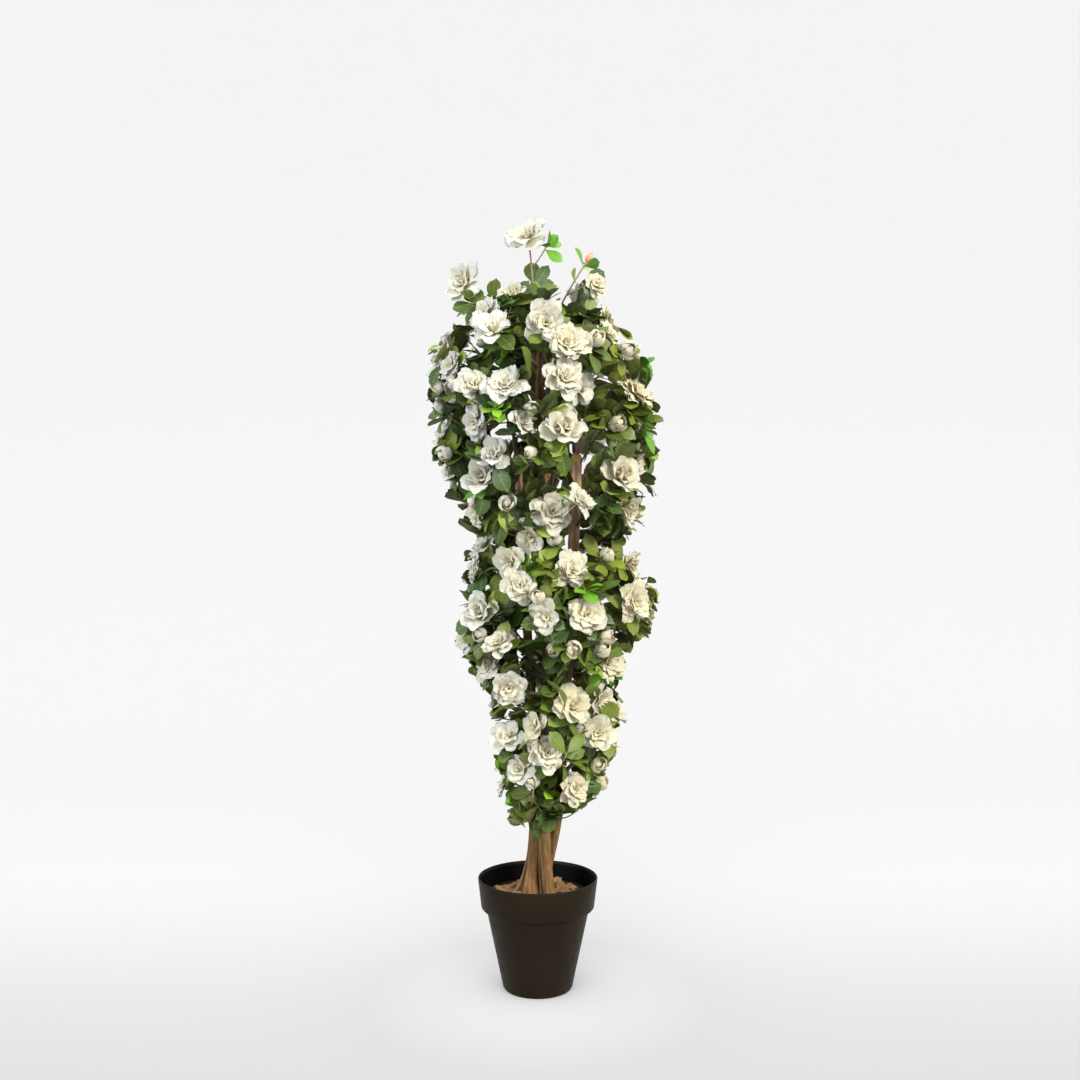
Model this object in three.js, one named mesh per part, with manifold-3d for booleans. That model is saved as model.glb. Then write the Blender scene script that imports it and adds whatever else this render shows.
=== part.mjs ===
// Artificial azalea tree, 1.2 m tall: three real wood stems set in a filled nursery pot, with plugged-in
// sprays of leaves and white double blooms all the way up.
// Millimetres, +Z up. The origin is the middle of the pot's flat underside, and -Y is the front.
import * as THREE from "three";
import { mergeVertices } from "three/addons/utils/BufferGeometryUtils.js";
import Module from "manifold-3d";

const wasm = await Module();
wasm.setup();

// ---- Driving sizes ----
const GAP = 0.3; // what touching solids keep between them
const POT = {
  height: 172.5, wall: 2.6, baseRadius: 51, foot: 4, footRadius: 54.7, shoulder: 120, shoulderRadius: 79.6,
};
const COLLAR = { bottom: 130, bottomRadius: 88.8, lipRadius: 93.6, roundSides: 30 };
const FILL = { bottom: POT.wall + GAP, top: 142 };
const CHIPS = { bed: 4, count: 9, length: 36, width: 19, thickness: 4.5, turn: 2.4, seed: 11 };
const GROUND = FILL.top + GAP; // where the stems are cut off flat

// Each wood stem stands from the ground to its head. Its sway is where its middle lies, x and y, at equal
// steps of height. Its foot spreads by `flare` over the first `flareHeight`.
const STEMS = {
  trunk_front: {
    head: 1018, footRadius: 8.4, headRadius: 5.6, flare: 0.12, flareHeight: 20,
    sway: [[16, -11], [10, -9], [12, -5], [15, -6], [16, -9], [18, -7], [4, -9], [4, 0]],
  },
  trunk_left: {
    head: 832, footRadius: 7.2, headRadius: 5.2, flare: 0.85, flareHeight: 26,
    sway: [[-15, 2], [-4, 4], [-8, 3], [-16, 5], [-22, 3], [-33, -3]],
  },
  trunk_right: {
    head: 838, footRadius: 7.6, headRadius: 7.2, flare: 0.1, flareHeight: 20,
    sway: [[7, 19], [33, 12], [40, 12], [52, 8], [57, 4], [61, 2]],
  },
};
const STEM_SIDES = 8;
const STEM_STEP = 68; // height of one ring of faces on a stem

// The crown's tiers, from the lowest: height, how far the tips reach left and right of the pot's axis,
// how many sprays go round, and how far the first is turned from the front, in degrees.
const TIERS = [
  { height: 268, left: 48, right: 62, sprays: 2, turn: -35 },
  { height: 318, left: 64, right: 110, sprays: 2, turn: 80 },
  { height: 378, left: 76, right: 138, sprays: 3, turn: -12 },
  { height: 448, left: 82, right: 140, sprays: 3, turn: 14 },
  { height: 510, left: 112, right: 146, sprays: 3, turn: -60 },
  { height: 588, left: 134, right: 190, sprays: 5, turn: 90 },
  { height: 652, left: 118, right: 168, sprays: 3, turn: 12 },
  { height: 738, left: 112, right: 170, sprays: 3, turn: -4 },
  { height: 790, left: 150, right: 188, sprays: 4, turn: 46 },
  { height: 856, left: 168, right: 197, sprays: 4, turn: 8 },
  { height: 920, left: 178, right: 184, sprays: 4, turn: -19 },
  { height: 980, left: 174, right: 180, sprays: 4, turn: 15 },
  { height: 1034, left: 138, right: 134, sprays: 3, turn: -42 },
];
// Sprigs that stand out of the top, each by its tip.
const SPRIGS = [
  { name: "foliage_top", tip: [-14, 0, 1170] },
  { name: "foliage_top_left", tip: [-112, -6, 1098] },
  { name: "foliage_top_right", tip: [76, 4, 1136] },
];
// A spray's tip lies inside the crown's outline, and its root lower on a stem by a share of its reach.
const CROWN = {
  inset: 30, insetShare: 0.25, climb: 0.6, lowestRoot: 232, belowHead: 6, headShare: 0.15, rootDepth: 0.3,
  detour: 60, leafyFrom: 0.375, sprigsFrom: 1022,
};
// What twigs, leaves and blooms keep clear, and how far a tip may pass the crown's outline.
const ROOM = { loose: 6, trunk: 2.5, swell: 1.12, wire: 6, leaf: 0.6, blooms: 0.95 };
const BOUGH = { count: 8, share: 0.42, rootRadius: 3.8, tipRadius: 2.8, sides: 5, steps: 3 };

// One spray: a wire stem with side shoots, a whorl of leaves at each shoot's end, and blooms and buds.
const SPRAY = { arch: 0.07, sides: 4, steps: 3, rootRadius: 2.3, tipRadius: 1.6, seed: 520 };
const SHOOTS = { count: 3, length: 52, shortest: 0.75, angle: 54, lift: 0.12, radius: 1.2, tries: 12 };
const LEAF = {
  length: 51, width: 27, widest: 0.58, camber: 1.2, droop: 2.4, neck: 0.14, step: 2.4, shrink: 0.05, tries: 8,
};
const LEAVES = { onLead: 5, onShoot: 3, onBareShoot: 4, onStem: 1, below: 7, belowBare: 2 };
// An open bloom, a smaller one and a bud. `aside` is how far each one's middle lies from its shoot.
const BLOOMS = [
  { radius: 33, height: 20, lobes: 5, aside: 5.3 },
  { radius: 26, height: 18, lobes: 5, aside: 4.3 },
  { radius: 11, height: 24, lobes: 3, aside: 2.5 },
];
const BLOOM_HEEL = 2; // how far its heel lies below its shoot's end
const NO_BLOOM = { radius: 4, height: 2, lobes: 3, aside: 0 };

// ---- Materials ----
const matte = (color, roughness) => new THREE.MeshStandardMaterial({ color, roughness, metalness: 0 });
const PLASTIC = matte(0x2b2620, 0.5);
const CEMENT = matte(0x6f675b, 0.95);
const CORK = matte(0xb08a55, 0.9);
const WOOD = matte(0x8a6644, 0.85);
const FOLIAGE = matte(0x4d6b3a, 0.6);

// ---- Tools ----
const root = new THREE.Group();
const UP = new THREE.Vector3(0, 0, 1);
const mix = THREE.MathUtils.lerp;

// A repeatable stream of numbers from 0 to 1.
function seeded(seed) {
  let state = Math.imul(seed, 2654435761) >>> 0;
  return () => {
    state = (Math.imul(state, 1664525) + 1013904223) >>> 0;
    return state / 4294967296;
  };
}

function solidOf(geometry) {
  const bare = new THREE.BufferGeometry().setAttribute("position", geometry.getAttribute("position"));
  if (geometry.index) bare.setIndex(geometry.index);
  const merged = mergeVertices(bare, 1e-3);
  const mesh = new wasm.Mesh({
    numProp: 3,
    vertProperties: new Float32Array(merged.attributes.position.array),
    triVerts: new Uint32Array(merged.index.array),
  });
  return new wasm.Manifold(mesh);
}

function geometryOf(solid) {
  const mesh = solid.getMesh();
  return new THREE.BufferGeometry()
    .setAttribute("position", new THREE.BufferAttribute(new Float32Array(mesh.vertProperties), 3))
    .setIndex(new THREE.BufferAttribute(new Uint32Array(mesh.triVerts), 1));
}

// The largest body of a joined solid, without loose scraps or sealed hollows.
function oneBody(solid) {
  const bodies = solid.decompose().sort((a, b) => b.volume() - a.volume());
  return bodies[0];
}

function addPart(name, geometry, material) {
  geometry.computeVertexNormals();
  const mesh = new THREE.Mesh(geometry, material);
  mesh.name = name;
  root.add(mesh);
}

// A closed round limb: a cylinder whose rings follow a path, with its own radius and outline at each.
function limbGeometry(pathAt, radiusAt, sides, steps, outlineAt = () => 1) {
  const geometry = new THREE.CylinderGeometry(1, 1, 1, sides, steps);
  const position = geometry.getAttribute("position");
  const point = new THREE.Vector3();
  for (let i = 0; i < position.count; i++) {
    point.fromBufferAttribute(position, i);
    const t = point.y + 0.5;
    const turn = Math.atan2(point.x, point.z);
    const spread = Math.hypot(point.x, point.z) * radiusAt(t) * outlineAt(turn, t);
    const { middle, side, across } = pathAt(t);
    point.copy(middle).addScaledVector(across, Math.cos(turn) * spread);
    point.addScaledVector(side, Math.sin(turn) * spread);
    position.setXYZ(i, point.x, point.y, point.z);
  }
  return geometry;
}

// ---- Pot, fill and bark chips ----
function lathed(profile) {
  const points = profile.map(([r, z]) => new THREE.Vector2(r, z));
  return new THREE.LatheGeometry(points, COLLAR.roundSides).rotateX(Math.PI / 2);
}

function potGeometry() {
  const { height, wall, baseRadius, foot, footRadius, shoulder, shoulderRadius } = POT;
  const { bottom, bottomRadius, lipRadius } = COLLAR;
  return lathed([
    [0, 0], [baseRadius, 0], [footRadius, foot], [shoulderRadius, shoulder], [bottomRadius - 2, bottom - 3],
    [bottomRadius, bottom], [lipRadius, height - 1.5], [lipRadius - 1, height], [lipRadius - wall, height],
    [bottomRadius - wall, bottom], [shoulderRadius - wall, shoulder], [footRadius - wall, foot],
    [baseRadius, wall], [0, wall],
  ]);
}

// The fill follows the pot's inside, clear of it all round.
function fillGeometry() {
  const inset = POT.wall + GAP + 0.1;
  const rise = (FILL.top - COLLAR.bottom) / (POT.height - COLLAR.bottom);
  return lathed([
    [0, FILL.bottom], [POT.baseRadius - inset, FILL.bottom], [POT.footRadius - inset, POT.foot + GAP],
    [POT.shoulderRadius - inset, POT.shoulder + GAP], [COLLAR.bottomRadius - inset, COLLAR.bottom + GAP],
    [mix(COLLAR.bottomRadius, COLLAR.lipRadius, rise) - inset, FILL.top], [0, FILL.top],
  ]);
}

// Torn pieces of cork bark on a thin bed, glued into one crust round the stems.
function barkChips(stemSolids) {
  const random = seeded(CHIPS.seed);
  const bedRadius = COLLAR.bottomRadius - POT.wall - 1.5;
  const bed = lathed([
    [0, GROUND], [bedRadius - 2, GROUND], [bedRadius, GROUND + CHIPS.bed / 2],
    [bedRadius - 3, GROUND + CHIPS.bed], [0, GROUND + CHIPS.bed],
  ]);
  let crust = solidOf(bed);
  for (let i = 0; i < CHIPS.count; i++) {
    const reach = bedRadius * (0.3 + 0.56 * Math.sqrt((i + 0.5) / CHIPS.count));
    const turn = i * CHIPS.turn;
    const chip = new THREE.BoxGeometry(
      CHIPS.length * (0.75 + 0.5 * random()), CHIPS.width * (0.75 + 0.5 * random()), CHIPS.thickness,
    );
    chip.rotateX((random() - 0.5) * 0.3).rotateY((random() - 0.5) * 0.3).rotateZ(random() * Math.PI);
    chip.translate(reach * Math.cos(turn), reach * Math.sin(turn), GROUND + CHIPS.bed + 0.8);
    crust = crust.add(solidOf(chip));
  }
  const wallSide = solidOf(lathed([
    [0, GROUND], [bedRadius, GROUND], [bedRadius + 3, GROUND + 22], [0, GROUND + 22],
  ]));
  crust = crust.intersect(wallSide);
  for (const stem of stemSolids) crust = crust.subtract(stem);
  return geometryOf(oneBody(crust).simplify(0.25));
}

// ---- Wood stems ----
for (const stem of Object.values(STEMS)) {
  const rise = (stem.head - GROUND) / (stem.sway.length - 1);
  const points = stem.sway.map(([x, y], i) => new THREE.Vector3(x, y, GROUND + i * rise));
  const curve = new THREE.CatmullRomCurve3(points, false, "catmullrom", 0.5);
  stem.middleAt = (z) => curve.getPoint(THREE.MathUtils.clamp((z - GROUND) / (stem.head - GROUND), 0, 1));
  stem.radiusAt = (z) => {
    const share = (z - GROUND) / (stem.head - GROUND);
    const flare = stem.flare * Math.exp((GROUND - z) / stem.flareHeight);
    return mix(stem.footRadius, stem.headRadius, share) * (1 + flare);
  };
}

// Rings stay level, so that foot and head are flat. `extra` swells the stem, to cut others clear of it.
function stemGeometry(stem, extra = 0) {
  const heightAt = (t) => mix(GROUND - extra, stem.head + extra, t);
  const side = new THREE.Vector3(1, 0, 0);
  const across = new THREE.Vector3(0, -1, 0);
  const fluted = (turn, t) => 1 + 0.07 * Math.sin(2 * turn + 5 * t) + 0.04 * Math.sin(3 * turn - 9 * t);
  const steps = Math.round((stem.head - GROUND) / STEM_STEP);
  const pathAt = (t) => ({ middle: stem.middleAt(heightAt(t)).setZ(heightAt(t)), side, across });
  return limbGeometry(pathAt, (t) => stem.radiusAt(heightAt(t)) + extra, STEM_SIDES, steps, fluted);
}

// ---- The crown's rule: where each spray starts and ends ----
function crownAt(z) {
  const above = TIERS.findIndex((tier) => tier.height > z);
  const [low, high] = above <= 0 ? [TIERS.at(above), TIERS.at(above)] : [TIERS[above - 1], TIERS[above]];
  const share = high === low ? 0 : (z - low.height) / (high.height - low.height);
  const left = mix(low.left, high.left, share);
  const right = mix(low.right, high.right, share);
  return { shift: (right - left) / 2, radius: (right + left) / 2 };
}

const SECTORS = ["front", "front_right", "right", "back_right", "back", "back_left", "left", "front_left"];
const COMPASS_STEP = 360 / SECTORS.length;

function tipsOfTiers() {
  return TIERS.flatMap((tier, row) =>
    Array.from({ length: tier.sprays }, (_, i) => {
      const degrees = (tier.turn + (360 * i) / tier.sprays + 360) % 360;
      const angle = THREE.MathUtils.degToRad(degrees);
      const { shift, radius } = crownAt(tier.height);
      const reach = radius - Math.min(CROWN.inset, CROWN.insetShare * radius);
      const tip = new THREE.Vector3(shift + reach * Math.sin(angle), -reach * Math.cos(angle), tier.height);
      const sector = SECTORS[Math.round(degrees / COMPASS_STEP) % SECTORS.length];
      return { name: `foliage_${String(row + 1).padStart(2, "0")}_${sector}`, tip };
    }),
  );
}

// How far a point is from a stem's middle, on the level.
function fromMiddle(stem, point) {
  const middle = stem.middleAt(point.z);
  return Math.hypot(point.x - middle.x, point.y - middle.y);
}

const meets = (stem, point, room) =>
  point.z < stem.head + room && fromMiddle(stem, point) < stem.radiusAt(point.z) * ROOM.swell + room;

// The middle of a spray's stem rises over the straight line from its root to its tip.
function middleAt({ base, tip }, t) {
  const line = tip.clone().sub(base);
  const along = line.clone().normalize();
  const arch = UP.clone().addScaledVector(along, -UP.dot(along));
  const rise = SPRAY.arch * line.length() * Math.sin(Math.PI * t);
  return base.clone().addScaledVector(line, t).addScaledVector(arch, rise);
}

// The core of a spray: even points of its stem's middle, from a share of its length on.
const CORE_STEPS = 16;
function corePoints(spray, from = 0) {
  const steps = Math.round(CORE_STEPS * (1 - from));
  return Array.from({ length: steps + 1 }, (_, i) => middleAt(spray, mix(from, 1, i / steps)));
}

// The root of a spray on one stem, on the side towards its tip, and how far off it counts as. It counts as
// farther where another stem is in the way.
function rootOn(stem, tip) {
  const level = fromMiddle(stem, tip);
  const highest = stem.head - CROWN.belowHead - CROWN.headShare * level;
  const height = THREE.MathUtils.clamp(tip.z - CROWN.climb * level, CROWN.lowestRoot, highest);
  const base = stem.middleAt(height).setZ(height);
  const outward = new THREE.Vector3(tip.x - base.x, tip.y - base.y, 0);
  const distance = Math.max(outward.length(), tip.z - height);
  base.addScaledVector(outward.normalize(), stem.radiusAt(height) * (1 - CROWN.rootDepth));
  const others = Object.values(STEMS).filter((other) => other !== stem);
  const core = corePoints({ base, tip });
  const blocked = core.some((point) => others.some((other) => meets(other, point, ROOM.wire)));
  return { base, distance: distance + (blocked ? CROWN.detour : 0) };
}

function nearestRoot(tip) {
  const roots = Object.values(STEMS).map((stem) => rootOn(stem, tip));
  return roots.sort((a, b) => a.distance - b.distance)[0].base;
}

// The plane midway between the closest points of two sprays' leafy lengths. Each spray keeps to its own
// side of it.
function partingPlane(own, other) {
  let best = { distance: Infinity };
  for (const a of corePoints(own, CROWN.leafyFrom))
    for (const b of corePoints(other, CROWN.leafyFrom)) {
      const distance = a.distanceTo(b);
      if (distance < best.distance - 1e-9) best = { distance, a, b };
    }
  const normal = best.b.clone().sub(best.a).normalize();
  const middle = best.a.clone().add(best.b).multiplyScalar(0.5);
  return { normal, limit: normal.dot(middle) - GAP / 2 };
}

const sprigs = SPRIGS.map(({ name, tip }) => ({ name, tip: new THREE.Vector3(...tip) }));
const sprays = [...tipsOfTiers(), ...sprigs];
sprays.forEach((spray, i) => {
  spray.base = nearestRoot(spray.tip);
  spray.length = spray.base.distanceTo(spray.tip);
  spray.seed = SPRAY.seed + i;
  spray.isSprig = sprigs.includes(spray);
});
for (const spray of sprays)
  spray.planes = sprays.filter((other) => other !== spray).map((other) => partingPlane(spray, other));

// ---- The way of each spray: the longest start as a bare bough ----
const byLength = [...sprays].sort((a, b) => b.length - a.length);
for (const spray of sprays) spray.boughEnd = byLength.indexOf(spray) < BOUGH.count ? BOUGH.share : 0;

// A frame across the way from one point to the next.
function frameAlong(from, to, middle) {
  const along = to.clone().sub(from).normalize();
  const isUpright = Math.abs(along.z) > 0.95;
  const side = isUpright ? new THREE.Vector3(1, 0, 0) : new THREE.Vector3().crossVectors(UP, along);
  side.addScaledVector(along, -side.dot(along)).normalize();
  return { middle, side, across: new THREE.Vector3().crossVectors(side, along), along };
}

const pathOf = (spray, start, end) => (t) => {
  const at = mix(start, end, t);
  return frameAlong(middleAt(spray, at - 0.02), middleAt(spray, at + 0.02), middleAt(spray, at));
};

// The wire stem beyond the bough runs straight from knot to knot. What grows on it starts on that line.
function onStem(spray, t) {
  const knot = (i) => middleAt(spray, mix(spray.boughEnd, 1, i / SPRAY.steps));
  const place = THREE.MathUtils.clamp((t - spray.boughEnd) / (1 - spray.boughEnd), 0, 1) * SPRAY.steps;
  const step = Math.min(SPRAY.steps - 1, Math.floor(place));
  const [from, to] = [knot(step), knot(step + 1)];
  return { from, to, point: from.clone().lerp(to, place - step), along: to.clone().sub(from).normalize() };
}

// ---- Room: what a leaf, shoot or bloom must stay clear of ----
const clearOfStems = (point) => !Object.values(STEMS).some((stem) => meets(stem, point, ROOM.trunk));

// The bare lower lengths of other sprays may cross a spray's space, so its shoots and blooms keep clear of
// them. Its leaves are tested against the solids themselves.
function clearOfWires(point, spray) {
  const nearest = new THREE.Vector3();
  return sprays.every((other) => {
    if (other === spray) return true;
    const wire = new THREE.Line3(other.base, middleAt(other, CROWN.leafyFrom));
    return wire.closestPointToPoint(point, true, nearest).distanceTo(point) > ROOM.wire;
  });
}

function insideCrown(point, spray) {
  if (spray.isSprig) return point.z > CROWN.sprigsFrom;
  const { shift, radius } = crownAt(point.z);
  return Math.hypot(point.x - shift, point.y) < radius + ROOM.loose;
}

function fits(points, spray) {
  return points.every(
    (point) =>
      spray.planes.every(({ normal, limit }) => normal.dot(point) < limit) &&
      clearOfStems(point) &&
      insideCrown(point, spray),
  );
}

// ---- Shoots of one spray ----
const sideways = (along, turn) => {
  const { side, across } = frameAlong(new THREE.Vector3(), along, null);
  return side.multiplyScalar(Math.cos(turn)).addScaledVector(across, Math.sin(turn));
};

// A bloom's rim is drawn into lobes that rise and fall. A corner of it lies at `turn` round its middle.
function bloomRim({ to, along, bloom }, turn) {
  const lobe = Math.cos(bloom.lobes * turn);
  const middle = to.clone().addScaledVector(sideways(along, Math.PI / (2 * bloom.lobes)), bloom.aside);
  middle.addScaledVector(along, bloom.height * (0.5 - 0.16 * lobe));
  return middle.addScaledVector(sideways(along, turn), bloom.radius * (0.86 + 0.14 * lobe));
}

function bloomOutline(place) {
  const { to, along, bloom } = place;
  const corners = 2 * bloom.lobes;
  const rim = Array.from({ length: corners }, (_, i) => bloomRim(place, (i * 2 * Math.PI) / corners));
  return [to, to.clone().addScaledVector(along, bloom.height), ...rim];
}

// Growth leaves a square stem through the middle of one of its four sides, give or take a little.
const sideTurn = (side, random) => (side + 0.5) * (Math.PI / 2) + 0.3 * (random() - 0.5);

function shootsOf(spray) {
  const random = seeded(spray.seed);
  const lead = onStem(spray, 1);
  const kinds = [...BLOOMS, NO_BLOOM].map((bloom) => ({ ...lead, to: lead.point, bloom }));
  const shoots = [kinds.find((place) => fits(bloomOutline(place), spray)) ?? kinds.at(-1)];
  const start = Math.max(spray.boughEnd + 0.1, CROWN.leafyFrom);
  const firstSide = Math.floor(random() * 4);
  for (let i = 0; i < SHOOTS.count; i++) {
    const root = onStem(spray, mix(start, 0.85, (i + 0.6 * random()) / SHOOTS.count));
    const longest = Math.min(SHOOTS.length, spray.length * 0.7) * (0.8 + 0.4 * random());
    const angle = THREE.MathUtils.degToRad(SHOOTS.angle * (0.8 + 0.4 * random()));
    for (let attempt = 0; attempt < SHOOTS.tries; attempt++) {
      const turn = sideTurn(firstSide + i + attempt, random);
      const along = root.along.clone().multiplyScalar(Math.cos(angle));
      along.addScaledVector(sideways(root.along, turn), Math.sin(angle));
      along.addScaledVector(UP, SHOOTS.lift).normalize();
      const round = Math.floor(attempt / 4);
      const bloom = BLOOMS[1 + round + (i > 0 ? 1 : 0)] ?? NO_BLOOM;
      const to = root.point.clone().addScaledVector(along, longest * SHOOTS.shortest ** round);
      const outline = [...bloomOutline({ to, along, bloom }), root.point.clone().lerp(to, 0.5)];
      const apart = shoots.every(
        (shoot) => shoot.to.distanceTo(to) > (shoot.bloom.radius + bloom.radius) * ROOM.blooms,
      );
      if (!apart || !fits(outline, spray)) continue;
      if (!outline.every((point) => clearOfWires(point, spray))) continue;
      shoots.push({ from: root.point, to, along, bloom });
      break;
    }
  }
  return shoots;
}

// ---- Solids of one spray ----
function shootSolid({ from, to }) {
  const ways = frameAlong(from, to, null);
  const pathAt = (t) => ({ ...ways, middle: from.clone().lerp(to, t * 1.04) });
  return solidOf(limbGeometry(pathAt, () => SHOOTS.radius, SPRAY.sides, 1));
}

// A bloom is a flattened ball: a heel, a rim and a heart.
function bloomSolid(place) {
  const { to, along, bloom } = place;
  const middle = to.clone().addScaledVector(sideways(along, Math.PI / (2 * bloom.lobes)), bloom.aside);
  const geometry = new THREE.SphereGeometry(1, bloom.lobes * 2, 2);
  const position = geometry.getAttribute("position");
  for (let i = 0; i < position.count; i++) {
    const height = position.getY(i);
    const turn = Math.atan2(position.getZ(i), position.getX(i));
    const pole = middle.clone().addScaledVector(along, height > 0 ? bloom.height : -BLOOM_HEEL);
    const point = Math.abs(height) > 0.5 ? pole : bloomRim(place, turn);
    position.setXYZ(i, point.x, point.y, point.z);
  }
  return rightWayOut(geometry);
}

// Some maps turn a primitive inside out, so its faces are reversed where its volume is negative.
function rightWayOut(geometry) {
  const solid = solidOf(geometry);
  if (solid.volume() > 0) return solid;
  const index = geometry.index.array;
  for (let i = 0; i < index.length; i += 3) [index[i + 1], index[i + 2]] = [index[i + 2], index[i + 1]];
  return solidOf(geometry);
}

// The corners of a leaf: its root, its tip and its two widest points.
function leafCorners({ foot, along, turn, size, lean }) {
  const out = sideways(along, turn).multiplyScalar(Math.cos(lean)).addScaledVector(along, Math.sin(lean));
  const aside = sideways(along, turn + Math.PI / 2);
  const above = new THREE.Vector3().crossVectors(out, aside);
  if (above.dot(along) < 0) above.negate();
  const corner = (forward, width, lift) => {
    const point = foot.clone().addScaledVector(out, forward * size);
    return point.addScaledVector(aside, width * size).addScaledVector(above, lift);
  };
  const belly = LEAF.widest * LEAF.length;
  return [
    foot, corner(belly, -LEAF.width / 2, LEAF.camber), corner(belly, LEAF.width / 2, LEAF.camber),
    corner(LEAF.length, 0, -LEAF.droop),
  ];
}

// A leaf is a long four-cornered solid, folded across its widest points.
function leafSolid(corners) {
  const geometry = new THREE.TetrahedronGeometry(1);
  const position = geometry.getAttribute("position");
  for (let i = 0; i < position.count; i++) {
    const corner = corners[(position.getX(i) > 0 ? 0 : 1) + (position.getY(i) > 0 ? 0 : 2)];
    position.setXYZ(i, corner.x, corner.y, corner.z);
  }
  return solidOf(geometry);
}

// Where leaves are wished for: in a loose whorl below each bloom, and by turns up the spray's own stem.
function leafPlaces(spray, shoots) {
  const random = seeded(spray.seed + 1000);
  const places = [];
  shoots.forEach(({ to, along, bloom }, row) => {
    const isBare = bloom === NO_BLOOM;
    const count = row === 0 ? LEAVES.onLead : isBare ? LEAVES.onBareShoot : LEAVES.onShoot;
    const below = isBare ? LEAVES.belowBare : LEAVES.below;
    const firstSide = Math.floor(random() * 4);
    for (let i = 0; i < count; i++) {
      const foot = to.clone().addScaledVector(along, -below - i * LEAF.step);
      const [size, lean] = [0.85 + 0.3 * random(), 0.5 * random() - 0.1];
      places.push({ foot, along, side: firstSide + i, size, lean });
    }
  });
  const start = Math.max(spray.boughEnd + 0.06, CROWN.leafyFrom - 0.1);
  for (let i = 0; i < LEAVES.onStem; i++) {
    const { point: foot, along } = onStem(spray, mix(start, 0.85, (i + random()) / LEAVES.onStem));
    places.push({ foot, along, side: Math.floor(random() * 4), size: 0.85 + 0.3 * random(), lean: 0.5 });
  }
  return places;
}

// Each leaf is turned and made smaller till it has room, and is left out where it finds none.
function leavesOf(spray, shoots, limbs) {
  const random = seeded(spray.seed + 2000);
  let taken = limbs;
  const leaves = [];
  for (const place of leafPlaces(spray, shoots)) {
    for (let attempt = 0; attempt < LEAF.tries; attempt++) {
      const turn = sideTurn(place.side + attempt, random);
      const size = place.size * (1 - LEAF.shrink * attempt);
      const corners = leafCorners({ ...place, turn, size });
      if (!fits(corners.slice(1), spray)) continue;
      const blade = leafSolid([corners[0].clone().lerp(corners[3], LEAF.neck), ...corners.slice(1)]);
      if (blade.minGap(taken, 1) < ROOM.leaf) continue;
      leaves.push(leafSolid(corners));
      taken = taken.add(blade);
      break;
    }
  }
  return leaves;
}

function stemOf(spray) {
  const start = spray.boughEnd ? spray.boughEnd + GAP / spray.length : 0;
  const radiusAt = (t) => mix(SPRAY.rootRadius, SPRAY.tipRadius, t);
  return solidOf(limbGeometry(pathOf(spray, start, 1), radiusAt, SPRAY.sides, SPRAY.steps));
}

// The lower length of a spray: its bough, or as much bare wire.
function bareLength(spray) {
  const thick = spray.boughEnd ? [BOUGH.rootRadius, BOUGH.tipRadius] : [SPRAY.rootRadius, SPRAY.rootRadius];
  const end = spray.boughEnd || CROWN.leafyFrom;
  return solidOf(limbGeometry(pathOf(spray, 0, end), (t) => mix(...thick, t), BOUGH.sides, BOUGH.steps));
}

function sprayGeometry(spray, obstacles, cutters) {
  const shoots = shootsOf(spray);
  const blooms = shoots.filter(({ bloom }) => bloom !== NO_BLOOM);
  const pieces = [stemOf(spray), ...shoots.slice(1).map(shootSolid), ...blooms.map(bloomSolid)];
  const leaves = leavesOf(spray, shoots, wasm.Manifold.union([...pieces, ...obstacles]));
  let whole = wasm.Manifold.union([...pieces, ...leaves]);
  for (const cutter of cutters) whole = whole.subtract(cutter);
  return geometryOf(oneBody(oneBody(whole).simplify(0.05)));
}

// ---- Assembly ----
addPart("pot", potGeometry(), PLASTIC);
addPart("planting_fill", fillGeometry(), CEMENT);
const swollenStems = Object.values(STEMS).map((stem) => solidOf(stemGeometry(stem, GAP)));
addPart("bark_chips", barkChips(swollenStems), CORK);
for (const [name, stem] of Object.entries(STEMS)) addPart(name, stemGeometry(stem), WOOD);

const bareLengths = new Map(sprays.map((spray) => [spray, bareLength(spray)]));
for (const spray of sprays) {
  const bough = bareLengths.get(spray);
  if (spray.boughEnd) {
    const limb = swollenStems.reduce((left, stem) => left.subtract(stem), bough);
    addPart(spray.name.replace("foliage", "bough"), geometryOf(oneBody(limb)), WOOD);
  }
  const others = [...bareLengths.values()].filter((solid) => solid !== bough || spray.boughEnd);
  addPart(spray.name, sprayGeometry(spray, [...swollenStems, ...others], swollenStems), FOLIAGE);
}

export default root;
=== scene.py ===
import math

import bpy
import numpy as np
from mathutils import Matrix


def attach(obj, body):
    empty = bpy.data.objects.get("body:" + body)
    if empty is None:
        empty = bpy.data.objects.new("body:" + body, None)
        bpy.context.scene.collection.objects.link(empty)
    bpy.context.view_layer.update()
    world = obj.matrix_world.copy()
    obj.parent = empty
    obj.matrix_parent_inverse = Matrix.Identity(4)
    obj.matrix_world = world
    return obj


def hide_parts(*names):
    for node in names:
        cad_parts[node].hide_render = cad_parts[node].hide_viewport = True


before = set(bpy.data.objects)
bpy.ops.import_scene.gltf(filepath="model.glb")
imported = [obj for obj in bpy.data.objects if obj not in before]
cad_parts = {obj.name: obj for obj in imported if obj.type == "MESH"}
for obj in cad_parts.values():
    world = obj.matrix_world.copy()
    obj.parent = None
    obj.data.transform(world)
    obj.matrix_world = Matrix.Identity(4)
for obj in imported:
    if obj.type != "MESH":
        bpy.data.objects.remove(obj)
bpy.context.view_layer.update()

# ---- Studio ----
# A pale paper sweep that curves up behind the tree, a broad warm light from the front right, a cooler one
# from the left and an even glow all round. The camera stands level, at the height of the crown's middle.
SWEEP_HALF, SWEEP_BACK, SWEEP_TOP, SWEEP_BEND = 5.0, 3.2, 5.0, 1.6
# The paper's colour is darker near the camera, as painted shade on the near floor. It is lighter round the pot's foot,
# as painted light that lifts the pot's shadow.
PAPER_SHADED_NEAR, PAPER_FAR, PAPER_LIT_AT_POT = 0.61, 0.912, 1.30
SHADE_FADE_FROM, SHADE_FADE_TO, POT_LIGHT_RING_AT, POT_LIGHT_RING = -0.75, 0.66, (0, -0.05, 0), 0.26
GLOW = 1.05
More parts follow.
